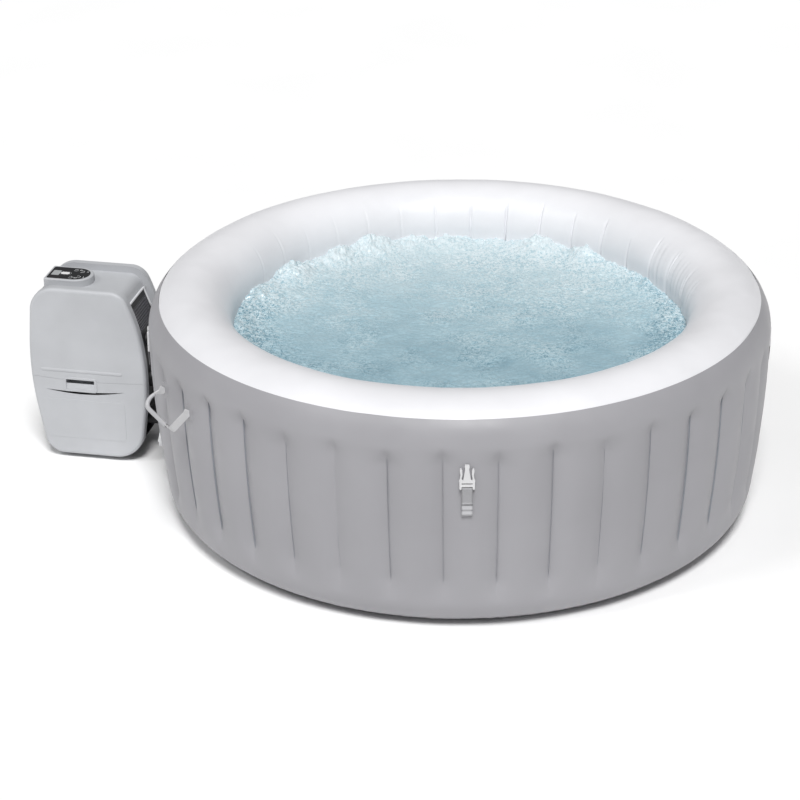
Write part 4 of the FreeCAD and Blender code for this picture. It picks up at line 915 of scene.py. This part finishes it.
# ---------------------------------------------------------------- pump trim
PUMP_TURN = math.radians(169.0)
PUMP_OUT = np.array([math.cos(PUMP_TURN), math.sin(PUMP_TURN), 0.0])
PUMP_SIDE = np.array([-PUMP_OUT[1], PUMP_OUT[0], 0.0])
PUMP_OFFSET = -0.070
BACK_TOP = 0.470
BACK_HALF = 0.0765          # half the width of the dark back panel at its top
LIP_LINE = [(0.9290, 0.0065, 0.402), (0.9400, 0.003, 0.430), (0.9515, 0.0, 0.4640),
            (0.9530, -0.004, BACK_TOP)]
LIP_WAY = (-0.92, 0.39)     # towards the tub and up, square to the lip's slope


def at_pump(reach, side, height):
    """Place from distance along the pump line, distance from the pump's middle, and height."""
    return PUMP_OUT * reach + PUMP_SIDE * (PUMP_OFFSET + side) + np.array([0, 0, height])


def back_lip():
    """Pale lip round the top of the dark back panel."""
    line = []
    for side in (-1, 1):
        corner = [at_pump(reach, side * (BACK_HALF + beyond), height) for reach, beyond, height in LIP_LINE]
        line += corner if side < 0 else corner[::-1]
    places = smooth_line(line, 0.002)
    out = PUMP_OUT * LIP_WAY[0] + np.array([0, 0, LIP_WAY[1]])
    run = np.gradient(places, axis=0)
    ways = np.cross(np.broadcast_to(out, places.shape), run)
    share = np.linspace(-1, 1, len(places))
    taper = np.clip((1 - np.abs(share)) / 0.25, 0.35, 1.0)
    sizes = [(0.0062 * size, 0.0060) for size in taper]
    made = strands_object("back_panel_lip", [strand(places, ways, sizes, 3.0)])
    wear(made, "casing_grey", LIP)
    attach(made, "tub")


def circle_points(reach, side, radius, height, start=0.0, end=360.0):
    turns = np.radians(np.linspace(start, end, 22))
    return [at_pump(reach + radius * math.cos(turn), side + radius * math.sin(turn), height)
            for turn in turns]


NEAR_KEYS, FAR_KEYS, POWER_KEY = 1.098, 1.119, 1.157     # distances of the keys along the pump line
NEAR_SPREAD, FAR_SPREAD = 0.019, 0.0265                   # and from the pump's middle
INK = (0.0010, 0.0003)      # a printed line's width and thickness


def legend_strokes(height):
    """Lines of the printed symbols: heat, filter, bubbles, timer, and ticks round the power key."""
    strokes = []
    for reach, spread in ((NEAR_KEYS, NEAR_SPREAD), (FAR_KEYS, FAR_SPREAD)):
        for side in (spread, -spread):
            strokes.append(circle_points(reach + 0.0145, side, 0.0062, height, 40, 320))
    heat, filtering = NEAR_KEYS - 0.001, NEAR_KEYS - 0.004
    for shift in (-0.003, 0.0, 0.003):
        strokes.append([at_pump(heat + 0.0012 * math.sin(k), NEAR_SPREAD + shift + 0.0004 * k, height)
                        for k in range(6)])
    funnel = ((filtering, -0.023), (filtering, -0.015), (filtering + 0.005, -NEAR_SPREAD),
              (filtering, -0.023))
    strokes.append([at_pump(reach, side, height) for reach, side in funnel])
    for shift, radius in ((-0.003, 0.0012), (0.001, 0.0016), (0.004, 0.0009)):
        strokes.append(circle_points(FAR_KEYS + shift, FAR_SPREAD + 0.002, radius, height))
    clock = -FAR_SPREAD - 0.002
    strokes.append(circle_points(FAR_KEYS, clock, 0.0030, height))
    strokes.append([at_pump(FAR_KEYS, clock, height), at_pump(FAR_KEYS + 0.0015, clock, height)])
    for turn in np.radians(np.arange(0, 360, 30)):
        near = at_pump(POWER_KEY + 0.0165 * math.cos(turn), 0.0105 * math.sin(turn), height)
        far = at_pump(POWER_KEY + 0.0190 * math.cos(turn), 0.0125 * math.sin(turn), height)
        strokes.append([near, far])
    return strokes


def panel_legends():
    """Generic symbols printed by the keys."""
    height = round(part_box("panel_face")[1].z, 4) + 0.0001
    strands = []
    for points in legend_strokes(height):
        points = np.array(points)
        if len(points) == 2:
            points = np.array([points[0], points.mean(0), points[1]])
        run = np.gradient(points, axis=0)
        ways = np.cross(run, np.broadcast_to([0.0, 0.0, 1.0], run.shape))
        strands.append(strand(points, ways, [INK] * len(points), 4.0))
    made = strands_object("panel_legends", strands)
    wear(made, "key_white", LEGEND)
    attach(made, "tub")


# ---------------------------------------------------------------- surroundings
FLOOR_SIZE = 30.0           # from its middle to its edge
FLOOR_HEIGHT = -0.001


def floor():
    """Plain pale studio floor."""
    signs = ((-1, -1), (1, -1), (1, 1), (-1, 1))
    corners = [(x * FLOOR_SIZE, y * FLOOR_SIZE, FLOOR_HEIGHT) for x, y in signs]
    made = mesh_object("floor", corners, [(0, 1, 2, 3)], smooth=False)
    material, tree, shader = new_material("floor", 0.9)
    tone = colour_between(tree, noise_of(tree, 2.0, 2.0), (0.95, 0.95, 0.95), (0.97, 0.97, 0.97))
    tree.links.new(tone, shader.inputs["Base Color"])
    made.data.materials.append(material)


SKY = 0.18                  # brightness of the surrounding studio
LAMPS = {                   # share of the light, where it comes from, and how wide it looks
    "key": (0.90, Vector((0.06, -0.64, 1.0)), 18.0),
    "side": (0.18, Vector((-0.60, -0.34, 0.76)), 14.0),
}


LAMP_DISTANCE = 4.0


def lights():
    """A pale room, one broad soft light from above and in front, and a small one from the left."""
    world = bpy.data.worlds.new("studio")
    bpy.context.scene.world = world
    world.use_nodes = True
    world.node_tree.nodes["Background"].inputs["Color"].default_value = (1.0, 1.0, 1.0, 1)
    world.node_tree.nodes["Background"].inputs["Strength"].default_value = SKY
    for name, (share, place, width) in LAMPS.items():
        data = bpy.data.lights.new(name, "SUN")
        data.energy = math.pi * share
        data.angle = math.radians(width)
        lamp = bpy.data.objects.new(name, data)
        lamp.location = place * LAMP_DISTANCE
        lamp.rotation_mode = "QUATERNION"
        lamp.rotation_quaternion = (-place).to_track_quat("-Z", "Y")
        bpy.context.scene.collection.objects.link(lamp)


AIM = Vector((0.0, 0.0, 0.33))
CAMERA_DISTANCE = 7.0795
CAMERA_ELEVATION = 24.995
FOCAL_SHARE = 3.1881        # focal length over the picture's width
SENSOR = 36.0
SHIFT = (-0.0748, -0.0254)


def camera():
    """Seen from the front, 25 degrees above the floor."""
    data = bpy.data.cameras.new("camera")
    data.sensor_width = SENSOR
    data.lens = SENSOR * FOCAL_SHARE
    data.shift_x, data.shift_y = SHIFT
    made = bpy.data.objects.new("camera", data)
    turn = math.radians(CAMERA_ELEVATION)
    back = Vector((0, -math.cos(turn), math.sin(turn)))
    made.location = AIM + back * CAMERA_DISTANCE
    made.rotation_mode = "QUATERNION"
    made.rotation_quaternion = (-back).to_track_quat("-Z", "Y")
    bpy.context.scene.collection.objects.link(made)
    bpy.context.scene.camera = made
    bpy.context.scene.view_settings.view_transform = "Standard"


dress_cad_nodes()
outer_wall()
top_and_inner_wall()
base_sheet()
tension_webs()
water()
strap_patches()
for strap in ("front", "right", "back", "left"):
    buckle_strap(strap)
for handle in ("left", "right"):
    carry_handle(handle)
back_lip()
panel_legends()
floor()
lights()
camera()
